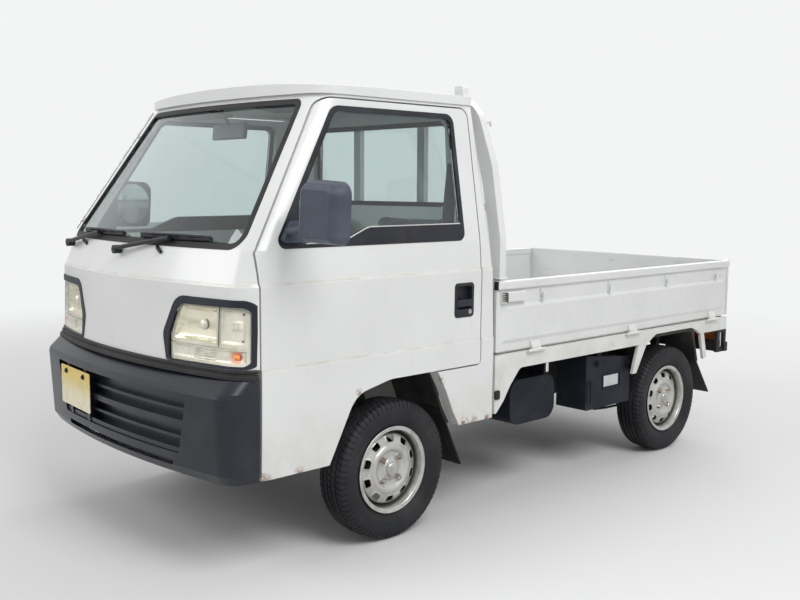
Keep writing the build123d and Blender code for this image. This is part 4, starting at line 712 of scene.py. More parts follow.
def lower_depth(u, v):
    """A flat bright field, a bar, level ribs, and a small bowl at the outer end."""
    off = math.hypot(u - INDICATOR[0], v - INDICATOR[1]) / INDICATOR_RADIUS
    if u < RIBS_START - RIB_BAR:
        depth = LOWER_FLOOR
    elif u < RIBS_START:
        depth = 0.0
    elif u < RIBS_END:
        depth = RIB_FLOOR + RIB_HEIGHT * math.sin(2 * math.pi * v / RIB_PITCH)
    else:
        depth = INDICATOR_FLOOR + INDICATOR_DEPTH * max(0.0, 1 - off * off)
    return CARRIER_DEPTH + depth * wall_share(lower_field, LOWER_WALL, u, v)


dress(["headlamp_frames"],
      moulded("lamp_frame_black", (0.012, 0.014, 0.022), rough=0.40, grain=(900.0, 0.0002), dust=0.04))
dress(["headlamp_lenses"], window_glass("lens_glass", (0.97, 0.96, 0.90, 1.0)))
reflector_bright = metal_finish("reflector_bright", (0.90, 0.88, 0.80), rough=0.16,
                                spotted=(0.80, 0.76, 0.64), spot_scale=14.0, metallic=0.75)
lamp_carrier = moulded("lamp_carrier", (0.52, 0.52, 0.48), rough=0.35, grain=(300.0, 0.0002), dust=0.10,
                       sheen=0.5)
side_silver = metal_finish("side_silver", (0.82, 0.82, 0.80), rough=0.30, spotted=(0.70, 0.70, 0.67),
                           spot_scale=30.0, metallic=0.5)
lamp_orange = moulded("lamp_orange", (0.90, 0.20, 0.03), rough=0.25, grain=(300.0, 0.0001), dust=0.03,
                      sheen=0.6)
# The screw heads are painted near-black for the shade of the holes they sit in.
screw_and_hole_shade = moulded("screw_and_hole_shade", (0.02, 0.02, 0.02), rough=0.45, grain=(300.0, 0.0001), dust=0.05)
lower_silver, lower_shader = new_finish("lower_silver")
lower_spot = object_spot(lower_shader)
# The silvering near each orange bulb is tinted orange: a painted reflection of the bulb.
indicator_y = nose_y(*INDICATOR) + BULB_REFLECTION_BEHIND
left_bulb_reflection, right_bulb_reflection = (
    near_spot(lower_spot, (side * INDICATOR[0], indicator_y, INDICATOR[1]), BULB_REFLECTION_REACH)
    for side in (1, -1))
lower_tone = laid_over(LOWER_TONE, LOWER_DULL_TONE,
                       cloud(lower_spot, scale=35.0, detail=4.0, low=0.4, high=0.75))
lower_tone = laid_over(lower_tone, BULB_REFLECTION_TONE, larger(left_bulb_reflection, right_bulb_reflection))
fill(lower_shader, {"Base Color": lower_tone, "Roughness": 0.28, "Metallic": 0.4})

LAMP_SMOOTH = 60
for side_name, side in SIDES:
    sheets = [
        ("lamp_carrier", lens_outline, [main_field, outer_field, lower_field],
         lambda u, v: CARRIER_DEPTH, lamp_carrier),
        ("lamp_main_reflector", main_field, [], main_depth, reflector_bright),
        ("lamp_outer_reflector", outer_field, [], outer_depth, side_silver),
        ("lamp_lower_reflector", lower_field, [], lower_depth, lower_silver),
        ("lens_bar", LENS_BAR, [], lambda u, v: LENS_BAR_DEPTH, lamp_carrier),
    ]
    for name, outline, holes, depth_at, finish in sheets:
        sheet = bmesh.new()
        panel(sheet, outline, holes, depth_at, side)
        formed(f"{name}_{side_name}", sheet, finish, "chassis", LAMP_SMOOTH)
    for name, places, shape, finish, slot in (
            ("bulb_shield", [BULB], BULB_SHIELD, side_silver, "silver_bezel"),
            ("indicator_bulb", [INDICATOR], INDICATOR_BULB, lamp_orange, "lamp_glass"),
            ("lamp_screws", SCREWS, SCREW_HEAD, screw_and_hole_shade, "black_plastic")):
        caps = bmesh.new()
        for place in places:
            dome(caps, place, *shape, side)
        formed(f"{name}_{side_name}", caps, finish, "chassis", LAMP_SMOOTH)


# The filler under the front panel: a black rubber strip with two ledges, pressed between the
# panel and the bumper's top from door to door.
FILLER_SECTION = [  # how far out from the panel, height
    (0.0005, 0.7365), (0.0055, 0.7355), (0.0080, 0.7320), (0.0080, 0.7270), (0.0050, 0.7245),
    (0.0060, 0.7215), (0.0130, 0.7200), (0.0165, 0.7165), (0.0180, 0.7055), (0.0005, 0.7055),
]
FILLER_END = 0.6944
BOW_CUTS, LAST_BOW_CUT = 60, 54
CORNER_CUTS = 10
bow_xs = [FILLER_END * i / BOW_CUTS for i in range(-LAST_BOW_CUT, LAST_BOW_CUT + 1)]
end_turn = math.asin((FILLER_END - CORNER_CENTRE[0]) / CORNER_RADIUS)
corner_xs = [CORNER_CENTRE[0] + CORNER_RADIUS * math.sin(end_turn * i / CORNER_CUTS)
             for i in range(CORNER_CUTS + 1)]
corner_xs = [x for x in corner_xs if x > bow_xs[-1]]
filler = bmesh.new()
rings = []
for x in [-x for x in reversed(corner_xs)] + bow_xs + corner_xs:
    if abs(x) < CORNER_START:
        lean = x / NOSE_BOW
    else:
        lean = math.copysign(abs(x) - CORNER_CENTRE[0], x) / CORNER_RADIUS
    outward = Vector((lean, -math.sqrt(1 - lean * lean), 0))
    foot = Vector((x, nose_y(x, NOSE_FOOT), 0))
    rings.append([filler.verts.new(foot + outward * out + Vector((0, 0, height)))
                  for out, height in FILLER_SECTION])
skin(filler, rings)
formed("panel_filler", filler, black_rubber, "chassis")


# The number plate: pressed sheet in yellow that has faded to cream below, left blank, and held
# to the bumper by two dark bolts with round washers.
PLATE_X = -0.288
BOLT_FACE = -1.640
BOLT_HEIGHT = 0.604
PLATE_BOLT_GAP = 0.178
BUMPER_BOW = 3.6
# from how deep to how far out, radius at each end, sides
PLATE_BOLT = [(-0.001, 0.003, 0.0105, 0.0105, 28), (0.003, 0.008, 0.0075, 0.0070, 6)]
PLATE_CREAM = (0.72, 0.68, 0.50)
PLATE_YELLOW = (0.68, 0.52, 0.14)
PLATE_FADE = (0.500, 0.600)
PLATE_DIRT = (0.35, 0.31, 0.24)
PLATE_DIRT_SHARE = 0.35
plate_paint, plate_shader = new_finish("plate_paint")
plate_spot = object_spot(plate_shader)
plate_colour = laid_over(PLATE_CREAM, PLATE_YELLOW, ramp(three_parts(plate_spot)[2], *PLATE_FADE))
plate_soil = cloud(plate_spot, scale=22.0, detail=7.0, low=0.45, high=0.8)
plate_colour = laid_over(plate_colour, PLATE_DIRT, times(plate_soil, PLATE_DIRT_SHARE))
fill(plate_shader, {"Base Color": plate_colour, "Roughness": 0.42})
dress(["number_plate"], plate_paint)
bolts = bmesh.new()
plate_seat = Matrix.Translation((PLATE_X, BOLT_FACE, 0)) @ Matrix.Rotation(PLATE_X / BUMPER_BOW, 4, "Z")
for x in (-PLATE_BOLT_GAP / 2, PLATE_BOLT_GAP / 2):
    stepped_boss(bolts, plate_seat @ Matrix.Translation((x, 0, BOLT_HEIGHT))
                 @ Matrix.Rotation(math.pi / 2, 4, "X"), PLATE_BOLT)
formed("plate_bolts", bolts, black_plastic, "chassis")


# Cab inside: a moulded grey dashboard, the black column and a padded steering wheel on three
# spokes, and the grey console, levers, sun visors and mirror.
DRIVER_X = -0.330
HOOP_CENTRE = Vector((DRIVER_X, -1.115, 1.015))
HOOP_RADIUS = 0.182
GRIP_RADIUS = 0.0125
HOOP_TILT = math.radians(60)
HOOP_STEPS, GRIP_STEPS = 72, 14
HUB_PAD = ((-0.052, -0.060, -0.032), (0.052, 0.034, 0.004), 0.012)
SPOKE = ((0.030, -0.016, -0.020), (0.176, 0.016, -0.006), 0.005)
SPOKE_TURNS = (8, 172, 270)
dress(["dashboard"],
      moulded("dash_grey", (0.075, 0.077, 0.082), rough=0.6, grain=(1400.0, 0.0003), dust=0.10))
dress(["cab_fittings"],
      moulded("fittings_grey", (0.10, 0.10, 0.105), rough=0.55, grain=(900.0, 0.0003), dust=0.06))
dress(["steering_column"], black_plastic)


def softened_block(form, frame_matrix, low, high, edge, rounds=3):
    """A block with rounded edges between two corners, added to a form."""
    made = bmesh.ops.create_cube(form, size=1.0)["verts"]
    size = Vector(high) - Vector(low)
    centre = (Vector(high) + Vector(low)) / 2
    for vert in made:
        vert.co = Vector((vert.co.x * size.x, vert.co.y * size.y, vert.co.z * size.z)) + centre
    edges = list(dict.fromkeys(joined for vert in made for joined in vert.link_edges))
    result = bmesh.ops.bevel(form, geom=edges, offset=edge, segments=rounds, profile=0.5,
                             affect="EDGES")
    moved = {vert for face in result["faces"] for vert in face.verts} | {v for v in made if v.is_valid}
    for vert in moved:
        vert.co = frame_matrix @ vert.co


hoop_plane = Matrix.Translation(HOOP_CENTRE) @ Matrix.Rotation(HOOP_TILT - math.pi / 2, 4, "X")
hoop = bmesh.new()
rings = []
for angle in round_turns(HOOP_STEPS):
    out = Vector((math.cos(angle), math.sin(angle), 0))
    rings.append([hoop.verts.new(hoop_plane @ (out * (HOOP_RADIUS + GRIP_RADIUS * math.cos(turn))
                                               + Vector((0, 0, GRIP_RADIUS * math.sin(turn)))))
                  for turn in round_turns(GRIP_STEPS)])
skin(hoop, rings, round_trip=True)
softened_block(hoop, hoop_plane, *HUB_PAD)
for turn in SPOKE_TURNS:
    softened_block(hoop, hoop_plane @ Matrix.Rotation(math.radians(turn), 4, "Z"), *SPOKE)
steering_hoop = formed("steering_hoop", hoop, black_plastic, "steering_wheel")
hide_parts("steering_wheel")


# Seats: foam pads on steel pans, covered in grained grey vinyl with stitched channels down the
# middle panel. Each pad is swelled by a short cloth run, then the seams are drawn in.
SEAT_CENTRES = (("right", DRIVER_X), ("left", -DRIVER_X))
VOXEL = 0.006
SWELL_FRAMES = 20
SWELL_CAP = 0.012
SWELL_PRESSURE = 4.0
SEAM_WIDTH = 0.006
SEAM_DEPTH = 0.007
PANEL_HALF = 0.145
CHANNELS = (-0.16, -0.08, 0.0, 0.08, 0.16)
# name, width, depth, height, corner, place of its middle, lean
PADS = [
    ("seat_cushion", 0.450, 0.480, 0.105, 0.040, (0.0, -0.765, 0.722), math.radians(-4.5)),
    ("seat_back", 0.430, 0.075, 0.500, 0.032, (0.0, -0.428, 0.965), math.radians(-7.0)),
]
seat_vinyl = moulded("seat_vinyl", (0.075, 0.077, 0.084), rough=0.55, grain=(1600.0, 0.0004), dust=0.10)


def swelled(pad):
    """Runs the cloth that swells a pad, caps how far a point moves and applies it."""
    remesh = pad.modifiers.new("voxels", "REMESH")
    remesh.mode = "VOXEL"
    remesh.voxel_size = VOXEL
    bpy.context.view_layer.objects.active = pad
    bpy.ops.object.modifier_apply(modifier="voxels")
    before = [vert.co.copy() for vert in pad.data.vertices]
    cloth = pad.modifiers.new("swell", "CLOTH")
    cloth.settings.use_pressure = True
    cloth.settings.uniform_pressure_force = SWELL_PRESSURE
    cloth.settings.effector_weights.gravity = 0.0
    cloth.settings.quality = 3
    scene = bpy.context.scene
    for step in range(1, SWELL_FRAMES + 1):
        scene.frame_set(step)
    bpy.context.view_layer.objects.active = pad
    bpy.ops.object.modifier_apply(modifier="swell")
    for vert, start in zip(pad.data.vertices, before):
        moved = vert.co - start
        if moved.length > SWELL_CAP:
            vert.co = start + moved * (SWELL_CAP / moved.length)
    scene.frame_set(1)


def seam_pull(off):
    """How much a stitched seam draws in at a distance from it."""
    return math.exp(-(off / SEAM_WIDTH) ** 2)


def draw_in(mesh, seams):
    """Draws the skin in along seams: the axis that each crosses, its place and its half length."""
    mesh.update()
    normals = [vert.normal.copy() for vert in mesh.vertices]
    for vert, normal in zip(mesh.vertices, normals):
        pulls = [seam_pull(vert.co[axis] - place) for axis, place, half in seams
                 if abs(vert.co[1 - axis]) <= half]
        vert.co -= normal * SEAM_DEPTH * max(pulls, default=0.0)


def finer(piece):
    """One subdivision, in the view and in the render."""
    smoothing = piece.modifiers.new("finer", "SUBSURF")
    smoothing.levels = 1
    smoothing.render_levels = 1


for name, width, depth, height, corner, place, lean in PADS:
    form = bmesh.new()
    half = Vector((width, depth, height)) / 2
    softened_block(form, Matrix.Identity(4), -half, half, corner, rounds=5)
    mesh = bpy.data.meshes.new(name)
    form.to_mesh(mesh)
    form.free()
    pad = link_object(f"{name}_left", mesh)
    swelled(pad)
    seams = [(0, at, math.inf) for at in (-PANEL_HALF, PANEL_HALF)]
    if name == "seat_cushion":
        seams += [(1, at, PANEL_HALF) for at in CHANNELS]
    draw_in(pad.data, seams)
    if name == "seat_back":
        for vert in pad.data.vertices:
            for at in CHANNELS:
                if abs(vert.co.x) < PANEL_HALF and vert.co.y < 0:
                    vert.co.y += SEAM_DEPTH * seam_pull(vert.co.z - at)
    pad.data.polygons.foreach_set("use_smooth", [True] * len(pad.data.polygons))
    pad.data.materials.append(seat_vinyl)
    for side_name, centre in SEAT_CENTRES:
        piece = pad if side_name == "left" else link_object(f"{name}_right", pad.data)
        finer(piece)
        piece.matrix_world = (Matrix.Translation((centre, 0, 0)) @ Matrix.Translation(place)
                              @ Matrix.Rotation(lean, 4, "X"))
        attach(piece, "chassis")
        if name == "seat_cushion" and side_name == "left":
            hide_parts("seats")


# Seat belts: woven black webbing from a loop on each pillar down to the sill, hanging slack
# behind the seats and turning as it falls.
BELT_HALF = 0.023
BELT_HALF_THICK = 0.0008
BELT_STEPS = 40
BELT_TOP = (0.585, -0.435, 1.430)
BELT_OUT, BELT_SAG, BELT_FALL = 0.030, 0.040, 0.740
BELT_TWIST = (0.5, 0.9)
belt_webbing = moulded("belt_webbing", (0.020, 0.020, 0.022), rough=0.7, grain=(2200.0, 0.0004), dust=0.10)
for side_name, side in SIDES:
    webbing = bmesh.new()
    rings = []
    for i in range(BELT_STEPS + 1):
        share = i / BELT_STEPS
        middle = Vector((side * (BELT_TOP[0] + BELT_OUT * share),
                         BELT_TOP[1] - BELT_SAG * math.sin(math.pi * share),
                         BELT_TOP[2] - BELT_FALL * share))
        twist = BELT_TWIST[0] + BELT_TWIST[1] * share
        across = Vector((side * math.sin(twist), math.cos(twist), 0)) * BELT_HALF
        thick = Vector((side * math.cos(twist), -math.sin(twist), 0)) * BELT_HALF_THICK
        rings.append([webbing.verts.new(middle + corner) for corner in
                      (across + thick, thick - across, -across - thick, across - thick)])
    skin(webbing, rings)
    formed(f"seat_belt_{side_name}", webbing, belt_webbing, "chassis")


# The bed: a ribbed steel floor, side skirts, three pressed drop gates and a tube guard frame,
# welded up in white enamel. Loads have scuffed the floor most.
BED_FLOOR_TONE = (0.60, 0.62, 0.62)
# The bed enamel has the same line of dirt and painted shade along its crease.
bed_enamel = white_enamel("bed_enamel", film_foot=0.56, film_top=0.72, creases=(0.6575,), scuffs=0.35)
dress(["bed_floor"], white_enamel("bed_floor_enamel", tone=BED_FLOOR_TONE, film_foot=0.5, film_top=0.7,
                                  creases=(), scuffs=1.0))
dress(["gate_left", "gate_right", "tailgate", "bed_skirts", "guard_frame"], bed_enamel)


# Gate latches: a coil spring of plain wire beside each enamelled lever. With them come a black
# plug in the rail's front end, a rubber plug in the skirt, and the guard frame's foot plates.
SPRING_FOOT = (0.7105, -0.240, 0.868)
SPRING_HEIGHT = 0.040
SPRING_TURNS = 5
SPRING_STEPS = 16
SPRING_HALF = (0.0085, 0.0140)
SPRING_WIRE = 0.0015
# name: place, half size, edge, steps round the edge
RAIL_PLUG = ((0.687, -0.2705, 0.935), (0.0125, 0.0035, 0.0180), 0.003, 3)
LATCH_LEVER = ((0.7045, -0.166, 0.888), (0.0050, 0.0580, 0.0200), 0.0046, 5)
SKIRT_PLUG = ((0.6935, -0.2650, 0.480), (0.0080, 0.0145, 0.0195), 0.0072, 6)
GUARD_FOOT = ((0.664, -0.241, 0.9655), (0.034, 0.0255, 0.0025), 0.0018, 3)
spring_steel = metal_finish("spring_steel", (0.075, 0.065, 0.058), rough=0.50, spotted=(0.10, 0.055, 0.03),
                            spot_scale=120.0)


def block_piece(name, block, finish, body, side=1):
    """A block with rounded edges as a piece of its own, at its place on that side."""
    (x, y, z), half, edge, rounds = block
    form = bmesh.new()
    softened_block(form, Matrix.Translation((side * x, y, z)), -Vector(half), half, edge, rounds)
    formed(name, form, finish, body)


for side_name, side in SIDES:
    gate = f"gate_{side_name}"
    coil = []
    for i in range(SPRING_TURNS * SPRING_STEPS + 1):
        turn = 2 * math.pi * i / SPRING_STEPS
        coil.append((side * (SPRING_FOOT[0] + SPRING_HALF[0] * math.cos(turn)),
                     SPRING_FOOT[1] + SPRING_HALF[1] * math.sin(turn),
                     SPRING_FOOT[2] + SPRING_HEIGHT * i / (SPRING_TURNS * SPRING_STEPS)))
    spring = bmesh.new()
    bent_rod(spring, coil, SPRING_WIRE, sides=8)
    formed(f"latch_spring_{side_name}", spring, spring_steel, gate)
    block_piece(f"rail_plug_{side_name}", RAIL_PLUG, black_plastic, gate, side)
    block_piece(f"latch_lever_{side_name}", LATCH_LEVER, bed_enamel, gate, side)
    block_piece(f"skirt_plug_{side_name}", SKIRT_PLUG, black_rubber, "chassis", side)
    block_piece(f"guard_foot_{side_name}", GUARD_FOOT, bed_enamel, "chassis", side)


# Chassis: a welded frame, axles and struts in black paint under dry road dust, with a plain
# engine block and a dull steel exhaust hung below.
frame_black = moulded("frame_black", (0.016, 0.016, 0.017), rough=0.62, grain=(220.0, 0.0006), dust=0.45,
                      dust_tone=(0.16, 0.145, 0.125), dust_scale=5.0)
dress(["chassis_frame", "rear_axle", "front_struts", "knuckle_left", "knuckle_right", "rear_bar",
       "wheel_houses", "engine_block"], frame_black)
dress(["exhaust"], metal_finish("exhaust_steel", (0.24, 0.21, 0.18), rough=0.5, spotted=(0.17, 0.09, 0.05),
                                spot_scale=22.0))


# The fuel tank and the battery box: blue-black mouldings. The box has two quarter-turn knobs,
# a recess with a blank label, a finger slot and a drain pipe below.
BOX_FACE = 0.646
KNOBS = [(0.500, 0.512), (0.742, 0.492)]
# from how deep to how far out, radius at each end, sides
KNOB_STEPS = [(-0.001, 0.004, 0.0175, 0.0165, 32), (0.004, 0.011, 0.0120, 0.0105, 32)]
KNOB_GRIP = ((-0.0100, -0.0022, 0.0105), (0.0100, 0.0022, 0.0135), 0.0009)
GRIP_TURN = 0.5
FRAME_EDGE = 0.0011
FRAME_SINK = 0.0005
# place along and up the box's face, half width, half height, rail, how far it stands off
RECESS = (0.620, 0.420, 0.074, 0.038, 0.007, 0.003)
FINGER_SLOT = (0.441, 0.383, 0.016, 0.056, 0.005, 0.004)
# place, half size, edge, steps round the edge
BOX_LABEL = ((BOX_FACE + 0.00045, 0.614, 0.420), (0.00075, 0.058, 0.026), 0.0005, 3)
SKIRT_TAB = ((0.684, 0.075, 0.5575), (0.0015, 0.008, 0.0225), 0.0007, 3)
DRAIN_PIPE = [(0.560, 0.560, 0.300), (0.560, 0.575, 0.278), (0.565, 0.600, 0.266), (0.575, 0.680, 0.262),
              (0.585, 0.760, 0.264), (0.585, 0.782, 0.276), (0.585, 0.788, 0.300)]
DRAIN_RADIUS = 0.006
box_plastic = moulded("box_plastic", (0.009, 0.011, 0.017), rough=0.46, grain=(700.0, 0.0003), dust=0.04,
                      sheen=0.14)
label_pale = moulded("label_pale", (0.42, 0.43, 0.44), rough=0.5, grain=(200.0, 0.0001), dust=0.45)
dress(["tanks"], box_plastic)


def raised_frame(form, y, z, half_wide, half_high, rail, proud):
    """Four rounded bars round a rectangle, standing off the box's face."""
    bars = [((-half_wide, -half_high), (half_wide, -half_high + rail)),
            ((-half_wide, half_high - rail), (half_wide, half_high)),
            ((-half_wide, -half_high + rail), (-half_wide + rail, half_high - rail)),
            ((half_wide - rail, -half_high + rail), (half_wide, half_high - rail))]
    for (u0, v0), (u1, v1) in bars:
        softened_block(form, Matrix.Translation((BOX_FACE, y, z)), (-FRAME_SINK, u0, v0),
                       (proud, u1, v1), FRAME_EDGE)


fittings = bmesh.new()
for y, z in KNOBS:
    knob_place = Matrix.Translation((BOX_FACE, y, z)) @ Matrix.Rotation(math.pi / 2, 4, "Y")
    stepped_boss(fittings, knob_place, KNOB_STEPS)
    for turn in (GRIP_TURN, GRIP_TURN + math.pi / 2):
        softened_block(fittings, knob_place @ Matrix.Rotation(turn, 4, "Z"), *KNOB_GRIP)
raised_frame(fittings, *RECESS)
raised_frame(fittings, *FINGER_SLOT)
bent_rod(fittings, DRAIN_PIPE, DRAIN_RADIUS, sides=14)
formed("box_fittings", fittings, box_plastic, "chassis")
block_piece("box_label", BOX_LABEL, label_pale, "chassis")
block_piece("skirt_tab", SKIRT_TAB, bed_enamel, "chassis")


# Tail lamps: one moulded lens each side in three colours, amber outside, red in the middle and
# clear inside, with fine ribs that spread the light.
CLEAR_TONE = (0.50, 0.48, 0.46)
# from how far out, tone
LENS_BANDS = [(0.538, (0.36, 0.014, 0.012)), (0.602, (0.62, 0.19, 0.02))]
BAND_BLUR = 0.0005
LENS_DIRT = (0.25, 0.22, 0.19)
LENS_DIRT_SHARE = 0.35
LENS_RIB_PITCH, LENS_RIB_DEPTH = 0.006, 0.0006
tail_lens, tail_shader = new_finish("tail_lens")
tail_spot = object_spot(tail_shader)
tail_parts = three_parts(tail_spot)
across_lamp = reckoned("ABSOLUTE", tail_parts[0])
tail_colour = CLEAR_TONE
for start, tone in LENS_BANDS:
    tail_colour = laid_over(tail_colour, tone, ramp(across_lamp, start - BAND_BLUR, start + BAND_BLUR))
tail_soil = cloud(tail_spot, scale=20.0, detail=6.0, low=0.45, high=0.8)
tail_colour = laid_over(tail_colour, LENS_DIRT, times(tail_soil, LENS_DIRT_SHARE))
lens_wave = reckoned("SINE", times(tail_parts[2], 2 * math.pi / LENS_RIB_PITCH))
lens_bump = shader_node(tail_shader, "ShaderNodeBump", {"Height": lens_wave, "Distance": LENS_RIB_DEPTH,
                                                     "Strength": 1.0})
fill(tail_shader, {"Base Color": tail_colour, "Roughness": 0.18, "Coat Weight": 0.6,
                   "Normal": lens_bump.outputs[0]})
dress(["tail_lamps"], tail_lens)


# Tyres: black radials with five ribs, slanted cuts across the shoulders and middle, and moulded
# rings on the sidewall, seated on the wheel's bead.
TYRE_RADIUS = 0.268
TREAD_HALF = 0.054
TREAD_CROWN = 0.0035
PITCHES = 72
# share of a pitch, and whether a cut runs there
PITCH_STEPS = [(0.0, 1), (0.10, 1), (0.16, 0), (0.94, 0)]
GROOVE_DEPTH = 0.0065
CUT_DEPTH, SHOULDER_CUT_DEPTH = 0.0045, 0.00225
CUT_SLANT = 1.6
CUT_SLANT_END = 0.056
SHOULDER_CUT_START, MIDDLE_CUT_END = 0.030, 0.008
SHOULDER_CUT_FOOT = 0.2405
# where across the tread, and whether it is down in a groove
TREAD_STEPS = [
    (-0.0540, 0), (-0.0375, 0), (-0.0365, 1), (-0.0315, 1), (-0.0305, 0), (-0.0145, 0), (-0.0135, 1),
    (-0.0085, 1), (-0.0075, 0), (0.0075, 0), (0.0085, 1), (0.0135, 1), (0.0145, 0), (0.0305, 0),
    (0.0315, 1), (0.0365, 1), (0.0375, 0), (0.0540, 0),
]
# out from the middle of the tyre, radius: from the tread's shoulder down to the bead
SIDEWALL = [
    (0.0600, 0.2620), (0.0645, 0.2560), (0.0672, 0.2500), (0.0690, 0.2440), (0.0706, 0.2400),
    (0.0708, 0.2375), (0.0716, 0.2365), (0.0722, 0.2300), (0.0725, 0.2240), (0.0722, 0.2180),
    (0.0712, 0.2150), (0.0716, 0.2135), (0.0706, 0.2080), (0.0690, 0.2020), (0.0690, 0.1990),
    (0.0660, 0.1940), (0.0610, 0.1850), (0.0560, 0.1760), (0.0520, 0.1710), (0.0475, 0.1560),
]
tyre_rubber = moulded("tyre_rubber", (0.009, 0.0095, 0.012), rough=0.62, grain=(700.0, 0.0004), dust=0.16,
                      dust_tone=(0.12, 0.11, 0.10), dust_scale=9.0)


def tyre_form():
    """A tyre about the X axis: tread rows with grooves and slanted cuts, and both sidewalls."""
    form = bmesh.new()
    columns = [(-x, radius, 0) for x, radius in reversed(SIDEWALL)]
    columns += [(x, None, groove) for x, groove in TREAD_STEPS]
    columns += [(x, radius, 0) for x, radius in SIDEWALL]
    rings = []
    for i in range(PITCHES):
        for share, cut in PITCH_STEPS:
            ring = []
            for x, radius, groove in columns:
                if radius is None:
                    radius = TYRE_RADIUS - TREAD_CROWN * (x / TREAD_HALF) ** 2
                    if groove:
                        radius -= GROOVE_DEPTH
                    elif cut and (abs(x) > SHOULDER_CUT_START or abs(x) < MIDDLE_CUT_END):
                        radius -= CUT_DEPTH
                elif cut and radius > SHOULDER_CUT_FOOT:
                    radius -= SHOULDER_CUT_DEPTH
                    x -= math.copysign(SHOULDER_CUT_DEPTH, x)
                slant = CUT_SLANT * x * min(1, CUT_SLANT_END / max(abs(x), CUT_SLANT_END))
                turn = 2 * math.pi * (i + share) / PITCHES + slant
                ring.append(form.verts.new((x, radius * math.cos(turn), radius * math.sin(turn))))
            rings.append(ring)
    skin(form, rings, round_trip=True)
    return form


# Wheels: pressed steel discs welded into rolled rims, in silver enamel blackened in the gap round the
# disc and on its inner side by brake dust and painted shade. Ten hand holes have pressed lips. Four
# nuts stand round a plain centre cap, and the brake drum shows through the holes.
WHEEL_X = 0.610
WHEEL_Z = TYRE_RADIUS
AXLES = [("front", -0.825), ("rear", 1.075)]
HAND_HOLES = 10
HAND_HOLE = [(-0.0150, 0.1055), (0.0150, 0.1055), (0.0185, 0.1280), (-0.0185, 0.1280)]
HAND_HOLE_CORNER = 0.007
# the disc's rows of points across the holes: the first one's radius, how many, and their pitch
HOLE_ROWS = (0.101, 17, 0.002)
LIP_BAND = (0.095, 0.1345)
LIP_HEIGHT = 0.0024
LIP_REACH = 0.0042
PLATE_THICKNESS = 0.0032
SPOKES = 24 * HAND_HOLES
TURNED_STEPS = 120
# out from the wheel's middle, radius: the disc's outer face from the cap to its turned-in edge
FACE = [
    (0.0620, 0.0000), (0.0618, 0.0100), (0.0608, 0.0190), (0.0585, 0.0250), (0.0545, 0.0285),
    (0.0490, 0.0298), (0.0478, 0.0330), (0.0468, 0.0375), (0.0435, 0.0405), (0.0408, 0.0425),
    (0.0405, 0.0460), (0.0405, 0.0640), (0.0420, 0.0680), (0.0470, 0.0745), (0.0500, 0.0800),
    (0.0508, 0.0860), (0.0496, 0.0915), (0.0462, 0.0960), (0.0436, 0.0990), (0.0420, 0.1030),
    (0.0385, 0.1120), (0.0340, 0.1220), (0.0310, 0.1290), (0.0290, 0.1340), (0.0262, 0.1368),
    (0.0210, 0.1385), (0.0100, 0.1392),
]
# out from the wheel's middle, radius: the rim's closed section with its two-step flange
RIM_SECTION = [
    (-0.0580, 0.1680), (-0.0480, 0.1555), (-0.0280, 0.1555), (-0.0160, 0.1400), (0.0120, 0.1400),
    (0.0240, 0.1555), (0.0480, 0.1555), (0.0505, 0.1625), (0.0545, 0.1672), (0.0580, 0.1680),
    (0.0596, 0.1664), (0.0594, 0.1636), (0.0570, 0.1616), (0.0568, 0.1588), (0.0574, 0.1566),
    (0.0562, 0.1532), (0.0520, 0.1505), (0.0240, 0.1500), (0.0100, 0.1340), (-0.0140, 0.1340),
    (-0.0280, 0.1500), (-0.0540, 0.1500),
]
DRUM_SECTION = [(-0.022, 0.088), (-0.022, 0.097), (-0.019, 0.100), (0.020, 0.100), (0.024, 0.096),
                (0.028, 0.046), (0.028, 0.018), (-0.018, 0.018), (-0.018, 0.046), (0.014, 0.050),
                (0.014, 0.088)]
# radii and places out along the axle between which brake dust and painted shade darken the wheel
DUST_AND_SHADE_RADII = (0.126, 0.1385)
DUST_AND_SHADE_GAP = (0.050, 0.022)
DUST_AND_SHADE_INSIDE = (0.016, 0.006)
SILVER_TONE, GRIME_TONE = (0.52, 0.52, 0.50), (0.34, 0.33, 0.30)
BRAKE_DUST_AND_SHADE_TONE = (0.035, 0.031, 0.027)
BRAKE_DUST_AND_SHADE_SHARE = 0.92
NUT_CIRCLE = 0.0560
NUT_COUNT = 4
NUT_STEPS = 24
# out from the wheel's middle, radius, whether the nut is six-sided there
NUT_SECTION = [(0.0400, 0.0130, 0), (0.0430, 0.0130, 0), (0.0435, 0.0100, 1), (0.0540, 0.0100, 1),
               (0.0570, 0.0074, 1), (0.0585, 0.0030, 1)]


def face_depth(radius):
    """How far out the disc's face stands at a radius."""
    for (x0, r0), (x1, r1) in zip(FACE, FACE[1:]):
        if radius <= r1:
            return x0 + (x1 - x0) * (radius - r0) / (r1 - r0)
    return FACE[-1][0]


def turned(form, section):
    """A closed section turned about the X axis."""
    skin(form, [[form.verts.new((x, radius * math.sin(turn), radius * math.cos(turn)))
                 for x, radius in section] for turn in round_turns(TURNED_STEPS)], round_trip=True)


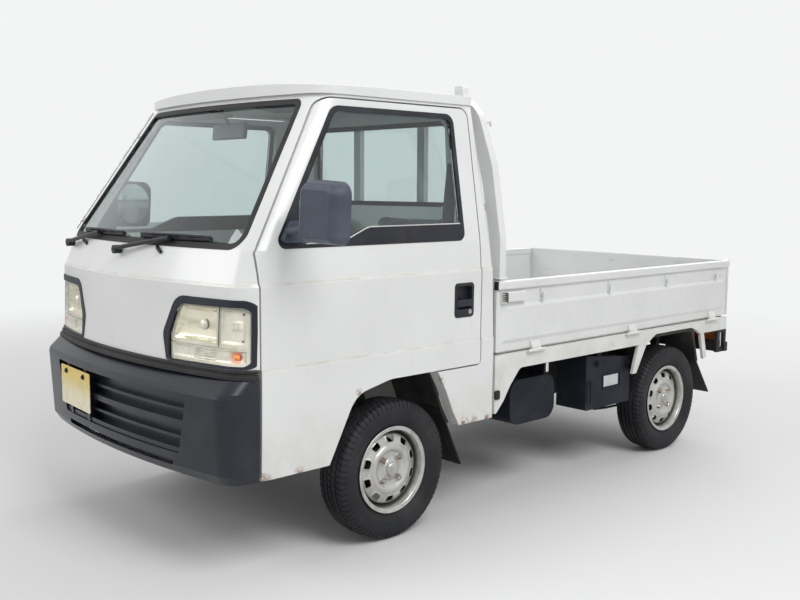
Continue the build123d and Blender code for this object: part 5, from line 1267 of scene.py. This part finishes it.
def wheel_disc(form):
    """The pressed disc: a sheet of even thickness about the X axis, with lipped hand holes."""
    hole = rounded(HAND_HOLE, HAND_HOLE_CORNER)
    pitch = 2 * math.pi / HAND_HOLES
    first_row, row_count, row_pitch = HOLE_ROWS
    radii = sorted({radius for x, radius in FACE if radius}
                   | {first_row + row_pitch * i for i in range(row_count)})
    kept = set()
    for i in range(SPOKES):
        off = (2 * math.pi * (i + 0.5) / SPOKES + pitch / 2) % pitch - pitch / 2
        for j in range(len(radii) - 1):
            middle = (radii[j] + radii[j + 1]) / 2
            if not within(hole, middle * math.sin(off), middle * math.cos(off)):
                kept.add((i, j))
    spots = {}
    for i, turn in enumerate(round_turns(SPOKES)):
        off = (turn + pitch / 2) % pitch - pitch / 2
        for j, radius in enumerate(radii):
            round_about = {((i - a) % SPOKES, j - b) for a in (0, 1) for b in (0, 1)
                           if 0 <= j - b < len(radii) - 1}
            if not round_about & kept:
                continue
            angle, lip = turn, 0.0
            if LIP_BAND[0] < radius < LIP_BAND[1]:
                gap, (u, v) = nearest_edge([hole], radius * math.sin(off), radius * math.cos(off))
                if not round_about <= kept:
                    gap = 0.0
                    angle = turn - off + math.atan2(u, v)
                    radius = math.hypot(u, v)
                lip = LIP_HEIGHT * math.exp(-(gap / LIP_REACH) ** 2)
            x = face_depth(radius) + lip
            across, up = radius * math.sin(angle), radius * math.cos(angle)
            spots[i, j] = (form.verts.new((x, across, up)),
                           form.verts.new((x - PLATE_THICKNESS, across, up)))
    for i, j in sorted(kept):
        after = (i + 1) % SPOKES
        corners = [spots[key] for key in ((i, j), (after, j), (after, j + 1), (i, j + 1))]
        form.faces.new([front for front, back in corners])
        form.faces.new([back for front, back in reversed(corners)])
        for k, key in enumerate(((i, j - 1), (after, j), (i, j + 1), ((i - 1) % SPOKES, j))):
            if key not in kept and key[1] >= 0:
                first, second = corners[k], corners[(k + 1) % 4]
                form.faces.new((first[0], first[1], second[1], second[0]))
    for layer in (0, 1):
        hub = form.verts.new((FACE[0][0] - layer * PLATE_THICKNESS, 0, 0))
        for i in range(SPOKES):
            form.faces.new((hub, spots[i, 0][layer], spots[(i + 1) % SPOKES, 0][layer]))


def nuts_form():
    """The four nuts: a round seat, six flats and a chamfered end."""
    form = bmesh.new()
    flat = math.pi / 3
    for station in round_turns(NUT_COUNT):
        angle = math.pi / 4 + station
        centre = Vector((0, NUT_CIRCLE * math.cos(angle), NUT_CIRCLE * math.sin(angle)))
        rings = []
        for x, radius, six_sided in NUT_SECTION:
            ring = []
            for turn in round_turns(NUT_STEPS):
                reach = radius
                if six_sided:
                    reach *= math.cos(flat / 2) / math.cos(turn % flat - flat / 2)
                ring.append(form.verts.new(centre + Vector((x, reach * math.cos(turn),
                                                            reach * math.sin(turn)))))
            rings.append(ring)
        skin(form, rings, ends=False)
        form.faces.new(rings[-1])
    return form


wheel_silver, wheel_shader = new_finish("wheel_silver")
wheel_spot = object_spot(wheel_shader)
wheel_out, wheel_y, wheel_z = three_parts(wheel_spot)
flat_spot = shader_node(wheel_shader, "ShaderNodeCombineXYZ", {1: wheel_y, 2: wheel_z}).outputs[0]
from_hub = shader_node(wheel_shader, "ShaderNodeVectorMath", {0: flat_spot},
                       operation="LENGTH").outputs["Value"]
silver_tone = laid_over(SILVER_TONE, GRIME_TONE,
                        cloud(wheel_spot, scale=22.0, detail=5.0, low=0.40, high=0.80))
# Near-black in the gap round the disc and on the inner side: partly brake dust, partly painted shade.
brake_dust_and_shade = times(ramp(from_hub, *DUST_AND_SHADE_RADII), ramp(wheel_out, *DUST_AND_SHADE_GAP))
brake_dust_and_shade = larger(brake_dust_and_shade, ramp(wheel_out, *DUST_AND_SHADE_INSIDE))
silver_tone = laid_over(silver_tone, BRAKE_DUST_AND_SHADE_TONE, times(brake_dust_and_shade, BRAKE_DUST_AND_SHADE_SHARE))
fill(wheel_shader, {"Base Color": silver_tone, "Metallic": 0.55,
                    "Roughness": graded(brake_dust_and_shade, 0.30, 0.85)})
drum_iron = moulded("drum_iron", (0.016, 0.013, 0.011), rough=0.7, grain=(300.0, 0.0004), dust=0.25,
                    dust_tone=(0.10, 0.06, 0.04))
nut_steel = metal_finish("nut_steel", (0.55, 0.54, 0.52), rough=0.28, spotted=(0.24, 0.17, 0.12),
                         spot_scale=60.0)

disc = bmesh.new()
turned(disc, RIM_SECTION)
wheel_disc(disc)
rim_mesh = meshed("rim", disc, wheel_silver, smooth_angle=50)
drum = bmesh.new()
turned(drum, DRUM_SECTION)
drum_mesh = meshed("brake_drum", drum, drum_iron)
tyre_mesh = meshed("tyre", tyre_form(), tyre_rubber, smooth_angle=32)
nut_mesh = meshed("wheel_nuts", nuts_form(), nut_steel, smooth_angle=0)
for end, station in AXLES:
    for side_name, side in SIDES:
        corner = f"{end}_{side_name}"
        spot = Matrix.Translation((side * WHEEL_X, station, WHEEL_Z))
        if side < 0:
            spot = spot @ Matrix.Rotation(math.pi, 4, "Z")
        for name, mesh, slot, node in (
                (f"tread_{corner}", tyre_mesh, "tyre_rubber", f"tyre_{corner}"),
                (f"wheel_{corner}_disc", rim_mesh, "wheel_silver", f"rim_{corner}"),
                (f"wheel_nuts_{corner}", nut_mesh, "bright_rod", None),
                (f"brake_drum_{corner}", drum_mesh, "frame_black", None)):
            piece = link_object(name, mesh)
            piece.matrix_world = spot
            if node:
                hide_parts(node)
            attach(piece, f"wheel_{corner}")
